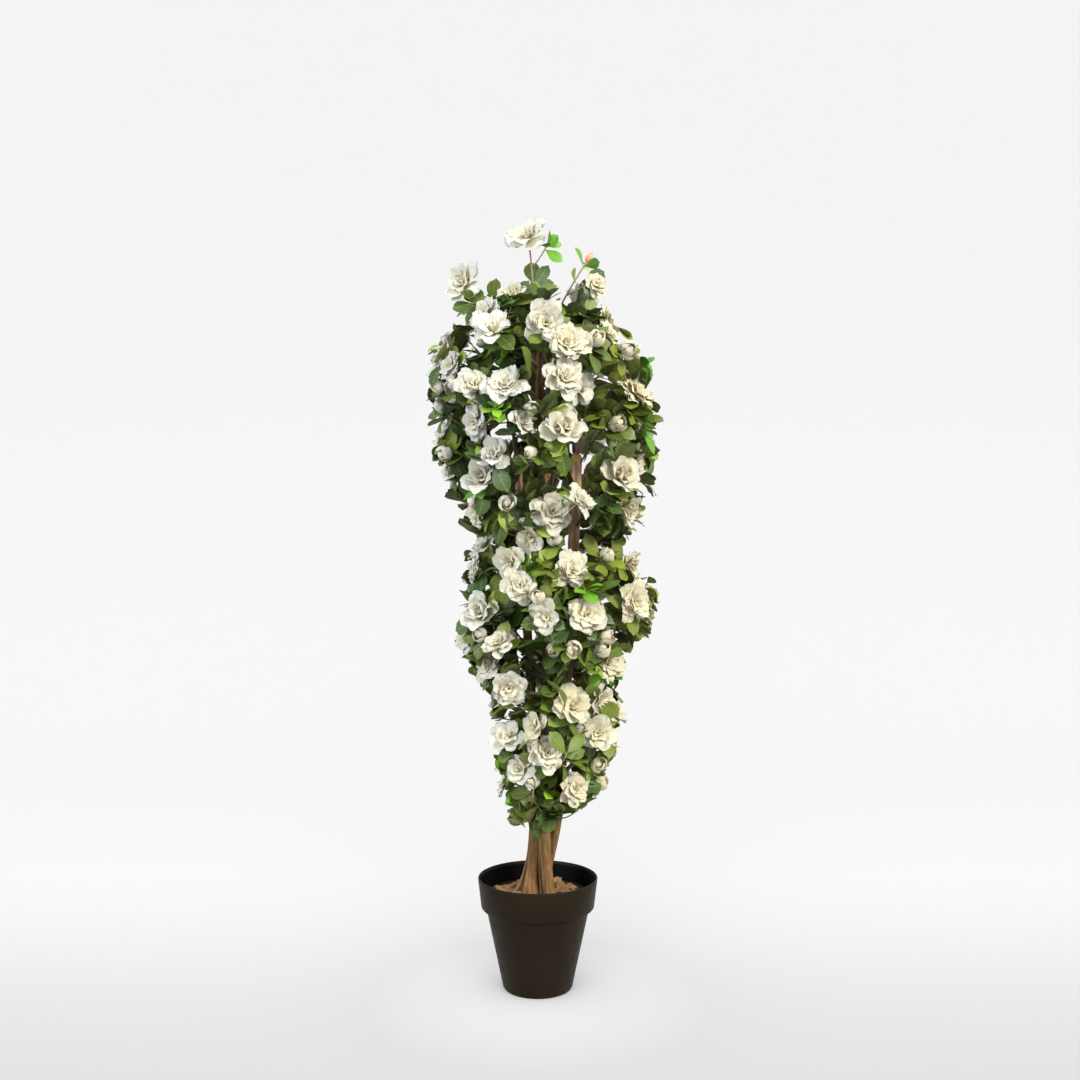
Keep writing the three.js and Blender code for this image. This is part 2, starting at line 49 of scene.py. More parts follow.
CAMERA_AT, CAMERA_LENS, CAMERA_FILM = (0.0035, -1.83, 0.70), 38.87, 36.0


def deselect():
    if bpy.context.mode != "OBJECT":
        bpy.ops.object.mode_set(mode="OBJECT")
    bpy.ops.object.select_all(action="DESELECT")


def select_where(piece, test):
    """In edit mode, selects just the vertices whose place passes the test."""
    bpy.ops.mesh.select_mode(type="VERT")
    bpy.ops.mesh.select_all(action="DESELECT")
    bpy.ops.object.mode_set(mode="OBJECT")
    for vertex in piece.data.vertices:
        vertex.select = test(vertex.co)
    bpy.ops.object.mode_set(mode="EDIT")


def node(tree, kind, inputs=(), **settings):
    """A shader node with its settings. Each input is a plain value or another node's output."""
    made = tree.nodes.new("ShaderNode" + kind)
    for name, value in settings.items():
        setattr(made, name, value)
    for socket, value in dict(inputs).items():
        if isinstance(value, bpy.types.NodeSocket):
            tree.links.new(value, made.inputs[socket])
        else:
            made.inputs[socket].default_value = value
    return made


def new_material(name, roughness, specular=0.5):
    material = bpy.data.materials.new(name)
    material.use_nodes = True
    shader = material.node_tree.nodes["Principled BSDF"]
    shader.inputs["Roughness"].default_value = roughness
    shader.inputs["Specular IOR Level"].default_value = specular
    return material, material.node_tree, shader


def coat(tree, shader, colour, grain=None, strength=0, distance=0):
    """Gives a material its colour and, from a mask, its relief."""
    tree.links.new(colour, shader.inputs["Base Color"])
    if grain:
        bump = node(tree, "Bump", {"Height": grain, "Strength": strength, "Distance": distance})
        tree.links.new(bump.outputs["Normal"], shader.inputs["Normal"])


deselect()
bpy.ops.mesh.primitive_plane_add(size=1)
sweep = bpy.context.object
sweep.name = "paper_sweep"
bpy.ops.object.mode_set(mode="EDIT")
bpy.ops.transform.resize(value=(2 * SWEEP_HALF, SWEEP_HALF + SWEEP_BACK, 1))
bpy.ops.transform.translate(value=(0, (SWEEP_BACK - SWEEP_HALF) / 2, 0))
select_where(sweep, lambda co: co.y > 0)
bpy.ops.mesh.extrude_region_move(TRANSFORM_OT_translate={"value": (0, 0, SWEEP_TOP)})
select_where(sweep, lambda co: co.y > 0 and co.z < 0.1)
bpy.ops.mesh.bevel(offset=SWEEP_BEND, segments=24)
deselect()
for face in sweep.data.polygons:
    face.use_smooth = True
paper, paper_tree, paper_shader = new_material("pale_paper", 0.95, 0.1)
paper_place = node(paper_tree, "TexCoord").outputs["Object"]
# Painted shade: the paper grows darker towards the camera.
painted_shade_fade = node(paper_tree, "MapRange", {
    "Value": node(paper_tree, "SeparateXYZ", {0: paper_place}).outputs["Y"],
    "From Min": SHADE_FADE_FROM, "From Max": SHADE_FADE_TO, "To Min": PAPER_SHADED_NEAR, "To Max": PAPER_FAR,
}, interpolation_type="SMOOTHSTEP")
# Painted light: the paper is lighter in a ring round the pot's foot, which lifts the pot's shadow there.
painted_light_ring = node(paper_tree, "MapRange", {
    "Value": node(paper_tree, "VectorMath", {0: paper_place, 1: POT_LIGHT_RING_AT}, operation="DISTANCE").outputs["Value"],
    "From Min": 0.0, "From Max": POT_LIGHT_RING, "To Min": PAPER_LIT_AT_POT, "To Max": 1.0,
})
paper_painted_light_and_shade = node(paper_tree, "Math", {0: painted_shade_fade.outputs[0], 1: painted_light_ring.outputs[0]}, operation="MULTIPLY")
coat(paper_tree, paper_shader, paper_painted_light_and_shade.outputs[0])
sweep.data.materials.append(paper)

# Two lamps leave the paper out, so that the even glow lights it, with a wash of its own round the pot's foot.
just_paper, not_paper = (bpy.data.collections.new(name) for name in ("just_paper", "not_paper"))
for group in (just_paper, not_paper):
    group.objects.link(sweep)
not_paper.collection_objects[0].light_linking.link_state = "EXCLUDE"


def area_light(name, size, power, colour, place, aim, receivers):
    light = bpy.data.lights.new(name, "AREA")
    light.shape = "DISK"
    light.size, light.energy, light.color = size, power, colour
    lamp = bpy.data.objects.new(name, light)
    bpy.context.scene.collection.objects.link(lamp)
    lamp.location = place
    way = [a - b for a, b in zip(aim, place)]
    level = math.hypot(way[0], way[1])
    lamp.rotation_euler = (math.atan2(level, -way[2]), 0, math.atan2(way[1], way[0]) - math.pi / 2)
    lamp.light_linking.receiver_collection = receivers


area_light("warm_key", 2.2, 440, (1.0, 0.95, 0.87), (3.2, -3.4, 3.4), (0, 0, 0.75), not_paper)
area_light("cool_fill", 2.2, 200, (0.90, 0.95, 1.0), (-3.6, -2.8, 2.4), (0, 0, 0.7), not_paper)
area_light("paper_wash", 1.2, 6, (1, 1, 1), (0, -1.1, 1.3), (0, -0.05, 0), just_paper)
world = bpy.data.worlds.new("even_glow")
world.use_nodes = True
world.node_tree.nodes["Background"].inputs["Color"].default_value = (1, 1, 1, 1)
world.node_tree.nodes["Background"].inputs["Strength"].default_value = GLOW
bpy.context.scene.world = world
bpy.context.scene.view_settings.view_transform = "Standard"

lens = bpy.data.cameras.new("level_camera")
lens.lens, lens.sensor_width = CAMERA_LENS, CAMERA_FILM
camera = bpy.data.objects.new("level_camera", lens)
camera.location = CAMERA_AT
camera.rotation_euler = (math.pi / 2, 0, 0)
bpy.context.scene.collection.objects.link(camera)
bpy.context.scene.camera = camera

# ---- Nursery pot ----
# A matte, brown-black injection-moulded pot: a tapering wall, a deep upright collar and a thin rolled lip,
# in one wall 2.6 mm thick. Inside, below the lip, the same plastic is made much darker and blue-black as
# painted shade, and it is bare above the filling.
MM = 0.001
POT_SIDES, POT_BASE, INNER_SHADE_BELOW, SHARPEST = 120, 51.0, 168.0, 35
POT_OUTSIDE = [
    (52.7, 0.5), (54.7, 4.0), (79.6, 120.0), (81.0, 123.4), (87.6, 126.4), (88.5, 127.6),
    (93.2, 167.0), (93.6, 170.8), (93.1, 172.2), (92.4, 172.5),
]
POT_INSIDE = [(91.4, 172.3), (90.8, 171.3), (90.5, 167.5), (86.2, 130.0), (77.0, 120.0), (52.1, 4.0), (50.5, 2.6)]


def blend(tree, factor, first, second):
    """A colour mixed from two, each of them and the factor a plain value or another node's output."""
    colours = ((*colour, 1) if isinstance(colour, tuple) else colour for colour in (first, second))
    return node(tree, "Mix", zip((0, 6, 7), (factor, *colours)), data_type="RGBA").outputs[2]


def mottle_group():
    """A shared group: soft patches on object coordinates, stretched along Z, as a mask from 0 to 1."""
    group = bpy.data.node_groups.new("mottle", "ShaderNodeTree")
    for name, start in (("Scale", 100.0), ("Stretch", 1.0), ("Detail", 4.0), ("Low", 0.35), ("High", 0.65)):
        socket = group.interface.new_socket(name, in_out="INPUT", socket_type="NodeSocketFloat")
        socket.default_value = start
    group.interface.new_socket("Mask", in_out="OUTPUT", socket_type="NodeSocketFloat")
    given, found = group.nodes.new("NodeGroupInput").outputs, group.nodes.new("NodeGroupOutput")
    squeeze = node(group, "VectorMath", {
        0: node(group, "TexCoord").outputs["Object"],
        1: node(group, "CombineXYZ", {"X": 1, "Y": 1, "Z": given["Stretch"]}).outputs[0],
    }, operation="MULTIPLY")
    noise = node(group, "TexNoise", {
        "Vector": squeeze.outputs[0], "Scale": given["Scale"], "Detail": given["Detail"],
    })
    reach = node(group, "MapRange", {"Value": noise.outputs[0], "From Min": given["Low"], "From Max": given["High"]})
    group.links.new(reach.outputs[0], found.inputs["Mask"])
    return group


MOTTLE = mottle_group()


def mottle(tree, scale, low=0.35, high=0.65, stretch=1.0, detail=4.0):
    values = {"Scale": scale, "Stretch": stretch, "Detail": detail, "Low": low, "High": high}
    return node(tree, "Group", values, node_tree=MOTTLE).outputs["Mask"]


def remap(tree, mask, low, high):
    return node(tree, "MapRange", {"Value": mask, "To Min": low, "To Max": high}).outputs[0]


def moulded_plastic(name, colour, worn, roughness):
    material, tree, shader = new_material(name, roughness, 0.06)
    colour = blend(tree, mottle(tree, 26, 0.4, 0.75), colour, worn)
    coat(tree, shader, colour, mottle(tree, 2600, 0.2, 0.8, detail=2), 0.12, 0.0002)
    scuffs = mottle(tree, 160, 0.45, 0.7, stretch=0.25)
    tree.links.new(remap(tree, scuffs, roughness - 0.06, roughness + 0.08), shader.inputs["Roughness"])
    return material


deselect()
bpy.ops.mesh.primitive_circle_add(vertices=POT_SIDES, radius=POT_BASE * MM, fill_type="NGON")
pot = bpy.context.object
pot.name = "nursery_pot"
bpy.ops.object.mode_set(mode="EDIT")
bpy.ops.mesh.select_mode(type="FACE")
radius, height = POT_BASE, 0.0
for next_radius, next_height in POT_OUTSIDE + POT_INSIDE:
    bpy.ops.mesh.extrude_region_move(
        TRANSFORM_OT_translate={"value": (0, 0, (next_height - height) * MM)},
    )
    share = next_radius / radius
    bpy.ops.transform.resize(value=(share, share, 1), center_override=(0, 0, next_height * MM))
    radius, height = next_radius, next_height
bpy.ops.mesh.select_all(action="SELECT")
bpy.ops.mesh.normals_make_consistent(inside=False)
deselect()
for plastic in (
    ("brown_black_plastic", (0.0120, 0.0082, 0.0042), (0.0145, 0.0100, 0.0056), 0.5),
    ("painted_shade_inner_plastic", (0.0010, 0.0012, 0.0016), (0.0018, 0.0022, 0.0028), 0.6),
):
    pot.data.materials.append(moulded_plastic(*plastic))
# Inward faces below the lip take the darker copy, as painted shade inside the pot.
for face in pot.data.polygons:
    outward = face.normal.x * face.center.x + face.normal.y * face.center.y
    face.material_index = 1 if outward < -1e-5 and face.center.z < INNER_SHADE_BELOW * MM else 0
pot.select_set(True)
bpy.context.view_layer.objects.active = pot
bpy.ops.object.shade_smooth_by_angle(angle=math.radians(SHARPEST))
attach(pot, "root")
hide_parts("pot")

# ---- Cement filling ----
# Grey-brown cement ballast cast into the pot, which holds the stems. The bark chips hide it, and it keeps
# the frame's own solid.


def mottled(name, roughness, patches, first, second, grain=None, strength=0, distance=0, specular=0.5):
    """A material of two colours in soft patches, with a grain of its own scale in relief."""
    material, tree, shader = new_material(name, roughness, specular)
    colour = blend(tree, mottle(tree, *patches), first, second)
    coat(tree, shader, colour, grain and mottle(tree, grain), strength, distance)
    return material


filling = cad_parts["planting_fill"]
filling.data.materials.clear()
filling.data.materials.append(
    mottled("ballast_cement", 0.95, (90,), (0.13, 0.11, 0.085), (0.21, 0.185, 0.15), 500, 0.4, 0.001),
)

# ---- Cork bark chips ----
# Torn pieces of golden cork bark with dark red-brown rind, glued over a dark bed round the stems. One rough
# block is shaped, and each chip is a copy of it with its own length, thickness, tilt and tearing.
GROUND = 142.3
CHIP_RINGS = [(17, 6), (30, 11), (43, 17), (55, 22)]
CHIP_SIZE = (29.0, 17.0, 3.8)
WALL_RADIUS, WALL_AT, WALL_FLARE, WALL_ROOM = 85.2, 142, 0.117, 1.0
BED_RADIUS, BED_SIDES, BED_EDGE, BED_STEPS, BED_STEP, BED_RISE = 84.5, 72, 2.4, 3, 18, 0.5


def attribute_of(tree, name):
    return node(tree, "Attribute", attribute_name=name).outputs["Fac"]


def joined_piece(name, points, quads, materials, smooth=True, **attributes):
    """One mesh from arrays: points in millimetres, four corners a face, and values a point for the materials."""
    mesh = bpy.data.meshes.new(name)
    mesh.vertices.add(len(points))
    mesh.vertices.foreach_set("co", (np.asarray(points) * MM).ravel().astype(np.float32))
    mesh.loops.add(quads.size)
    mesh.loops.foreach_set("vertex_index", quads.ravel().astype(np.int32))
    mesh.polygons.add(len(quads))
    mesh.polygons.foreach_set("loop_start", np.arange(0, quads.size, 4, dtype=np.int32))
    mesh.polygons.foreach_set("use_smooth", np.full(len(quads), smooth))
    mesh.update(calc_edges=True)
    for material in materials:
        mesh.materials.append(material)
    for key, values in attributes.items():
        layer = mesh.attributes.new(key, "FLOAT", "POINT")
        layer.data.foreach_set("value", np.asarray(values, dtype=np.float32))
    piece = bpy.data.objects.new(name, mesh)
    bpy.context.scene.collection.objects.link(piece)
    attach(piece, "root")
    return piece


def pattern_of(piece):
    """The points, in millimetres, and the four-cornered faces of a shaped piece, which is then removed."""
    mesh = piece.data
    points = np.zeros(3 * len(mesh.vertices))
    mesh.vertices.foreach_get("co", points)
    quads = np.array([face.vertices[:] for face in mesh.polygons])
    bpy.data.objects.remove(piece)
    return points.reshape(-1, 3) / MM, quads


deselect()
bpy.ops.mesh.primitive_cube_add(size=MM)
chip_block = bpy.context.object
bpy.ops.object.mode_set(mode="EDIT")
bpy.ops.mesh.subdivide(number_cuts=3)
bpy.ops.object.mode_set(mode="OBJECT")
chip_points, chip_quads = pattern_of(chip_block)

chance = np.random.default_rng(12)
chips, chip_rind = [], []
for ring_radius, count in CHIP_RINGS:
    for i in range(count):
        turn = (i + chance.uniform(-0.3, 0.3)) * 2 * math.pi / count
        size = np.array(CHIP_SIZE) * chance.uniform(0.7, 1.3, 3)
        x, y, z = chip_points.T
        phase = chance.uniform(0, 6.28, 6)
        taper = 1 - 0.28 * np.abs(2 * x) ** 2 + 0.1 * np.sin(7 * y + phase[0])
        torn = np.stack([
            x * size[0] * (1 + 0.12 * np.sin(9 * y + phase[1])),
            y * size[1] * taper * (1 + 0.14 * np.sin(8 * x + phase[2])),
            z * size[2] + 1.3 * np.sin(5 * x + phase[3]) + 0.9 * np.sin(9 * y + 6 * x + phase[4]),
        ], axis=1)
        torn += chance.normal(0, 0.5, torn.shape)
        yaw, roll, pitch = turn + chance.uniform(0.2, 2.9), *chance.normal(0, 0.17, 2)
        spin = np.array([[math.cos(yaw), -math.sin(yaw), 0], [math.sin(yaw), math.cos(yaw), 0], [0, 0, 1]])
        lean = np.array([[1, 0, pitch], [0, 1, roll], [-pitch, -roll, 1]])
        reach = ring_radius + chance.uniform(-4, 4)
        place = np.array([reach * math.cos(turn), reach * math.sin(turn), GROUND + 2.0 + chance.uniform(0, 2.4)])
        chips.append(torn @ (spin @ lean).T + place)
        chip_rind.append(np.clip(chance.normal(0.35, 0.35) - 0.5 * z, 0, 1))
chip_all = np.concatenate(chips)
wall_at = WALL_RADIUS + (chip_all[:, 2] - WALL_AT) * WALL_FLARE
chip_all[:, :2] *= np.minimum(1, (wall_at - WALL_ROOM) / np.hypot(chip_all[:, 0], chip_all[:, 1]))[:, None]
chip_all[:, 2] = np.maximum(chip_all[:, 2], GROUND + 0.2)

cork, cork_tree, cork_shader = new_material("golden_cork", 0.88)
cork_colour = (0.150, 0.080, 0.024)
for mask, other in (
    (mottle(cork_tree, 150, 0.35, 0.7), (0.27, 0.160, 0.055)),
    (mottle(cork_tree, 420, 0.55, 0.75), (0.060, 0.022, 0.008)),
    (attribute_of(cork_tree, "rind"), (0.058, 0.016, 0.006)),
):
    cork_colour = blend(cork_tree, mask, cork_colour, other)
coat(cork_tree, cork_shader, cork_colour, mottle(cork_tree, 380, 0.3, 0.75), 0.7, 0.0012)
cork_quads = np.concatenate([chip_quads + i * len(chip_points) for i in range(len(chips))])
bark_chips = joined_piece("cork_chips", chip_all, cork_quads, [cork], smooth=False, rind=np.concatenate(chip_rind))
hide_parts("bark_chips")

deselect()
bpy.ops.mesh.primitive_circle_add(
    vertices=BED_SIDES, radius=BED_RADIUS * MM, fill_type="NGON", location=(0, 0, GROUND * MM),
)
chip_bed = bpy.context.object
chip_bed.name = "chip_bed"
bpy.ops.object.transform_apply(location=True)
bpy.ops.object.mode_set(mode="EDIT")
bpy.ops.mesh.extrude_region_move(TRANSFORM_OT_translate={"value": (0, 0, BED_EDGE * MM)})
for _ in range(BED_STEPS):
    bpy.ops.mesh.inset(thickness=BED_STEP * MM)
    bpy.ops.transform.translate(value=(0, 0, BED_RISE * MM))
bpy.ops.mesh.select_all(action="SELECT")
bpy.ops.mesh.normals_make_consistent(inside=False)
deselect()
chip_bed.data.materials.append(
    mottled("dark_bark_dust", 0.95, (300,), (0.012, 0.006, 0.004), (0.045, 0.018, 0.009), 700, 0.8, 0.001, 0.1),
)
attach(chip_bed, "root")

# ---- Wood stems ----
# Three peeled and dried stems of real wood, cast into the filling. They twist past each other, with long
# ropy flutes, knots where twigs were cut, a root flare at the foot and a flat sawn head.
# A stem's sway is its middle, x and y, at equal steps of height. Its foot flares all round and spreads to one
# side, and its girth falls from the foot to the head. It is paler higher up, partly as peeled wood and partly as
# painted light, and it is cut square or at a slant.
STEMS = {
    "trunk_front": {
        "head": 1018, "foot": 8.4, "top": 5.6, "flare": 0.12, "flare_height": 20, "spread": 0.15, "spread_to": 0.6,
        "girth": (1.30, 1.06), "nudge": -0.8, "peeled": 0.15, "slant": 0,
        "sway": [[16, -11], [10, -9], [12, -5], [15, -6], [16, -9], [18, -7], [4, -9], [4, 0]],
    },
    "trunk_left": {
        "head": 832, "foot": 7.2, "top": 5.2, "flare": 0.85, "flare_height": 26, "spread": 0.9, "spread_to": -1.4,
        "girth": (1.34, 1.10), "nudge": 2.4, "peeled": 0.35, "slant": 0,
        "sway": [[-15, 2], [-4, 4], [-8, 3], [-16, 5], [-22, 3], [-33, -3]],
    },
    "trunk_right": {
        "head": 838, "foot": 7.6, "top": 7.2, "flare": 0.1, "flare_height": 20, "spread": 0.2, "spread_to": 1.2,
        "girth": (1.14, 1.10), "nudge": 0.0, "peeled": 1.0, "slant": 15,
        "sway": [[7, 19], [33, 12], [40, 12], [52, 8], [57, 4], [61, 2]],
    },
}
STEM_SIDES, STEM_RING, KNOTS_EACH = 44, 3.2, 9
SLANT_OVER, GIRTH_FALL, SAWN_WIDTH = 40, 0.3, 0.93
# From this height up, the stems turn paler, partly as peeled wood and partly as painted light.
NUDGE_AT, NUDGE_OVER, LIT_PEELED_FROM, LIT_PEELED_OVER = 200, 45, 420, 180


def stem_middle(stem, z):
    """The middle of a stem at each height, on one smooth curve through its sway."""
    sway = np.array(stem["sway"], dtype=float)
    sway = np.vstack([2 * sway[0] - sway[1], sway, 2 * sway[-1] - sway[-2]])
    steps = len(sway) - 3
    place = np.clip((z - GROUND) / (stem["head"] - GROUND), 0, 1) * steps
    i = np.minimum(np.asarray(place).astype(int), steps - 1)
    t = np.asarray(place - i)[..., None]
    start, end = sway[i + 1], sway[i + 2]
    leave, arrive = (end - sway[i]) / 2, (sway[i + 3] - start) / 2
    return (
        (2 * t**3 - 3 * t**2 + 1) * start + (t**3 - 2 * t**2 + t) * leave
        + (3 * t**2 - 2 * t**3) * end + (t**3 - t**2) * arrive
    )


def stem_point(stem, z):
    return np.array([*stem_middle(stem, z), z])


def stem_radius(stem, z):
    share = (z - GROUND) / (stem["head"] - GROUND)
    flare = stem["flare"] * np.exp((GROUND - z) / stem["flare_height"])
    return (stem["foot"] + (stem["top"] - stem["foot"]) * share) * (1 + flare)


def ring_quads(rings, sides, first=0):
    """The faces of a closed tube of rings, with both ends closed by strips of four-cornered faces."""
    ring, side = np.meshgrid(np.arange(rings - 1), np.arange(sides), indexing="ij")
    a, b = ring * sides + side, ring * sides + (side + 1) % sides
    walls = np.stack([a, b, b + sides, a + sides], axis=-1).reshape(-1, 4)
    half = np.arange(sides // 2 - 1)
    cap = np.stack([half, half + 1, sides - 2 - half, sides - 1 - half], axis=-1)
    return np.concatenate([walls, cap[:, ::-1], cap + (rings - 1) * sides]) + first


stem_parts, sawn_faces, first = [], [], 0
for row, stem in enumerate(STEMS.values()):
    draw = np.random.default_rng(40 + row)
    heights = np.linspace(GROUND, stem["head"], int((stem["head"] - GROUND) / STEM_RING))
    turns = np.arange(STEM_SIDES) * 2 * math.pi / STEM_SIDES
    z, turn = np.meshgrid(heights, turns, indexing="ij")
    z = z - stem["slant"] * (1 + np.cos(turn)) / 2 * np.clip((z - stem["head"]) / SLANT_OVER + 1, 0, 1)
    t = (z - GROUND) / (stem["head"] - GROUND)
    twist = turn + 1.6 * t + 0.25 * np.sin(9 * t)
    wave = 0.07 * np.sin(2 * turn + 5 * t) + 0.04 * np.sin(3 * turn - 9 * t)
    ropes = 0.040 * np.sin(5 * twist + 3) + 0.028 * np.sin(8 * twist - 5 * t) + 0.018 * np.sin(13 * twist + 11 * t)
    ropes += 0.012 * np.sin(21 * twist + 40 * t) + 0.012 * np.sin(90 * t + 3 * np.sin(3 * turn))
    knots = np.zeros_like(z)
    for _ in range(KNOTS_EACH):
        at, side_turn = draw.uniform(0.05, 0.95), draw.uniform(0, 2 * math.pi)
        away = np.hypot((t - at) * (stem["head"] - GROUND) / 9, np.sin((turn - side_turn) / 2) * 2.6)
        knots += draw.uniform(0.14, 0.3) * np.exp(-away**2) * (1 - 1.3 * np.exp(-(away * 2.6) ** 2))
    buttress = 0.22 * stem["flare"] * np.exp((GROUND - z) / 30) * np.cos(4 * turn + row)
    spread = stem["spread"] * np.exp((GROUND - z) / 24) * np.maximum(0, np.cos(turn - stem["spread_to"])) ** 1.5
    girth = stem["girth"][1] + (stem["girth"][0] - stem["girth"][1]) * np.exp(-t / GIRTH_FALL)
    radius_now = stem_radius(stem, z) * (girth + wave + ropes + knots + buttress + spread)
    radius_now[-1] *= SAWN_WIDTH
    middle = stem_middle(stem, z)
    middle[..., 0] += stem["nudge"] * np.exp(-((z - NUDGE_AT) / NUDGE_OVER) ** 2)
    points = [middle[..., 0] + radius_now * np.sin(turn), middle[..., 1] - radius_now * np.cos(turn), z]
    stem_parts.append((
        np.stack(points, axis=-1).reshape(-1, 3), ring_quads(len(heights), STEM_SIDES, first),
        np.clip(0.5 - 7 * (ropes + 0.5 * wave), 0, 1).ravel(),
        stem["peeled"] * np.clip((z - LIT_PEELED_FROM) / LIT_PEELED_OVER, 0, 1).ravel(),
    ))
    first += z.size
    sawn_faces.append(sum(len(part[1]) for part in stem_parts) - (STEM_SIDES // 2 - 1))

wood, wood_tree, wood_shader = new_material("weathered_wood", 0.72, 0.25)
# The wood is much paler higher up, and its dark seams thin there. This is partly the paler bared wood and partly
# painted light, which makes up for the shade the leaves cast.
peeled = attribute_of(wood_tree, "peeled")
bared_and_lit_wood = (0.125, 0.060, 0.018)
for mask, other in (
    (mottle(wood_tree, 230, 0.35, 0.65, 0.14), (0.235, 0.128, 0.045)), (peeled, (0.76, 0.48, 0.30)),
):
    bared_and_lit_wood = blend(wood_tree, mask, bared_and_lit_wood, other)
seamed_wood = bared_and_lit_wood
for mask, other in (
    (mottle(wood_tree, 95, 0.5, 0.64, 0.3), (0.095, 0.068, 0.018)),
    (mottle(wood_tree, 60, 0.54, 0.72, 0.45), (0.140, 0.052, 0.018)),
    (remap(wood_tree, attribute_of(wood_tree, "groove"), -0.55, 0.85), (0.022, 0.009, 0.003)),
):
    seamed_wood = blend(wood_tree, mask, seamed_wood, other)
wood_colour = blend(wood_tree, remap(wood_tree, peeled, 0.0, 0.4), seamed_wood, bared_and_lit_wood)
coat(wood_tree, wood_shader, wood_colour, mottle(wood_tree, 600, 0.3, 0.7, 0.12), 0.6, 0.0009)
sawn = mottled("sawn_wood", 0.8, (500,), (0.62, 0.31, 0.09), (0.80, 0.46, 0.17))
points, quads, groove, peeled = (np.concatenate(part) for part in zip(*stem_parts))
stems = joined_piece("wood_stems", points, quads, [wood, sawn], groove=groove, peeled=peeled)
for start in sawn_faces:
    for face in stems.data.polygons[start:start + STEM_SIDES // 2 - 1]:
        face.material_index = 1
        face.use_smooth = False
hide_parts(*STEMS)

# ---- The growth rule ----
# Tiers of sprays go round the stems from the foot to the top, and three sprigs stand out of it. Each spray
# has a root on the nearest stem, an arched wire stem, side shoots, and a space of its own between planes.
TIERS = [
    (268, 48, 62, 2, -35), (318, 64, 110, 2, 80), (378, 76, 138, 3, -12), (448, 82, 140, 3, 14),
    (510, 112, 146, 3, -60), (588, 134, 190, 5, 90), (652, 118, 168, 3, 12), (738, 112, 170, 3, -4),
    (790, 150, 188, 4, 46), (856, 168, 197, 4, 8), (920, 178, 184, 4, -19), (980, 174, 180, 4, 15),
    (1034, 138, 134, 3, -42),
]
SPRIGS = {
    "foliage_top": (-14, 0, 1170), "foliage_top_left": (-112, -6, 1098), "foliage_top_right": (76, 4, 1136),
}
SECTORS = ["front", "front_right", "right", "back_right", "back", "back_left", "left", "front_left"]
INSET, INSET_SHARE, CLIMB, LOWEST_ROOT, BELOW_HEAD, HEAD_SHARE = 30, 0.25, 0.6, 232, 6, 0.15
ROOT_DEPTH, DETOUR, LEAFY_FROM, SPRIGS_FROM = 0.3, 60, 0.375, 1022
ROOM_LOOSE, ROOM_TRUNK, ROOM_SWELL, ROOM_WIRE, ROOM_BLOOMS = 6, 2.5, 1.12, 6, 0.95
BOUGH_COUNT, BOUGH_SHARE = 8, 0.42
ARCH, KNOTS, FIRST_SEED, GAP, CORE_STEPS = 0.07, 3, 520, 0.3, 16
SHOOT_COUNT, SHOOT_LENGTH, SHORTEST, SHOOT_ANGLE, LIFT, SHOOT_TRIES = 3, 52, 0.75, 54, 0.12, 12
BLOOMS = [
    {"radius": 33, "height": 20, "lobes": 5, "aside": 5.3}, {"radius": 26, "height": 18, "lobes": 5, "aside": 4.3},
    {"radius": 11, "height": 24, "lobes": 3, "aside": 2.5},
]
NO_BLOOM = {"radius": 4, "height": 2, "lobes": 3, "aside": 0}
UP = np.array([0.0, 0.0, 1.0])
CROWN = np.array([tier[:3] for tier in TIERS], dtype=float)


def seeded(seed):
    """A repeatable stream of numbers from 0 to 1."""
    state = (seed * 2654435761) & 0xFFFFFFFF

    def draw():
        nonlocal state
        state = (state * 1664525 + 1013904223) & 0xFFFFFFFF
        return state / 4294967296

    return draw


def unit(way):
    return way / np.linalg.norm(way)


def crown_at(z, rows=CROWN):
    """The crown's middle and half width at a height, from rows of height, left reach and right reach."""
    left, right = (np.interp(z, rows[:, 0], rows[:, i]) for i in (1, 2))
    return (right - left) / 2, (right + left) / 2


def from_middle(stem, points):
    return np.linalg.norm(points[..., :2] - stem_middle(stem, points[..., 2]), axis=-1)


def meets(stem, points, room):
    near = from_middle(stem, points) < stem_radius(stem, points[..., 2]) * ROOM_SWELL + room
    return (points[..., 2] < stem["head"] + room) & near


def middle_at(spray, t):
    line = spray["tip"] - spray["base"]
    along = unit(line)
    arch = UP - along * along[2]
    t = np.asarray(t, dtype=float)[..., None]
    return spray["base"] + line * t + arch * (ARCH * np.linalg.norm(line) * np.sin(math.pi * t))


def core_points(spray, start=0.0):
    steps = round(CORE_STEPS * (1 - start))
    return middle_at(spray, start + (1 - start) * np.arange(steps + 1) / steps)


def root_on(stem, tip):
    """The root of a spray on one stem, and how far off it counts as."""
    level = from_middle(stem, tip)
    highest = stem["head"] - BELOW_HEAD - HEAD_SHARE * level
    height = min(max(tip[2] - CLIMB * level, LOWEST_ROOT), highest)
    base = stem_point(stem, height)
    outward = np.array([tip[0] - base[0], tip[1] - base[1], 0])
    distance = max(np.linalg.norm(outward), tip[2] - height)
    base = base + unit(outward) * stem_radius(stem, height) * (1 - ROOT_DEPTH)
    core = core_points({"base": base, "tip": tip})
    blocked = any(meets(other, core, ROOM_WIRE).any() for other in STEMS.values() if other is not stem)
    return distance + (DETOUR if blocked else 0), base


def parting_plane(own, other):
    """The plane midway between the closest points of two sprays' leafy lengths."""
    ours, theirs = core_points(own, LEAFY_FROM), core_points(other, LEAFY_FROM)
    away = np.linalg.norm(ours[:, None] - theirs[None], axis=-1)
    i, j = np.argwhere(away < away.min() + 1e-9)[0]
    normal = unit(theirs[j] - ours[i])
    return normal, normal @ (ours[i] + theirs[j]) / 2 - GAP / 2


def frame_along(along):
    """Two ways square to a direction: a level one and one across both."""
    side = np.array([1.0, 0, 0]) if abs(along[2]) > 0.95 else np.cross(UP, along)
    side = unit(side - along * (side @ along))
    return side, np.cross(side, along)


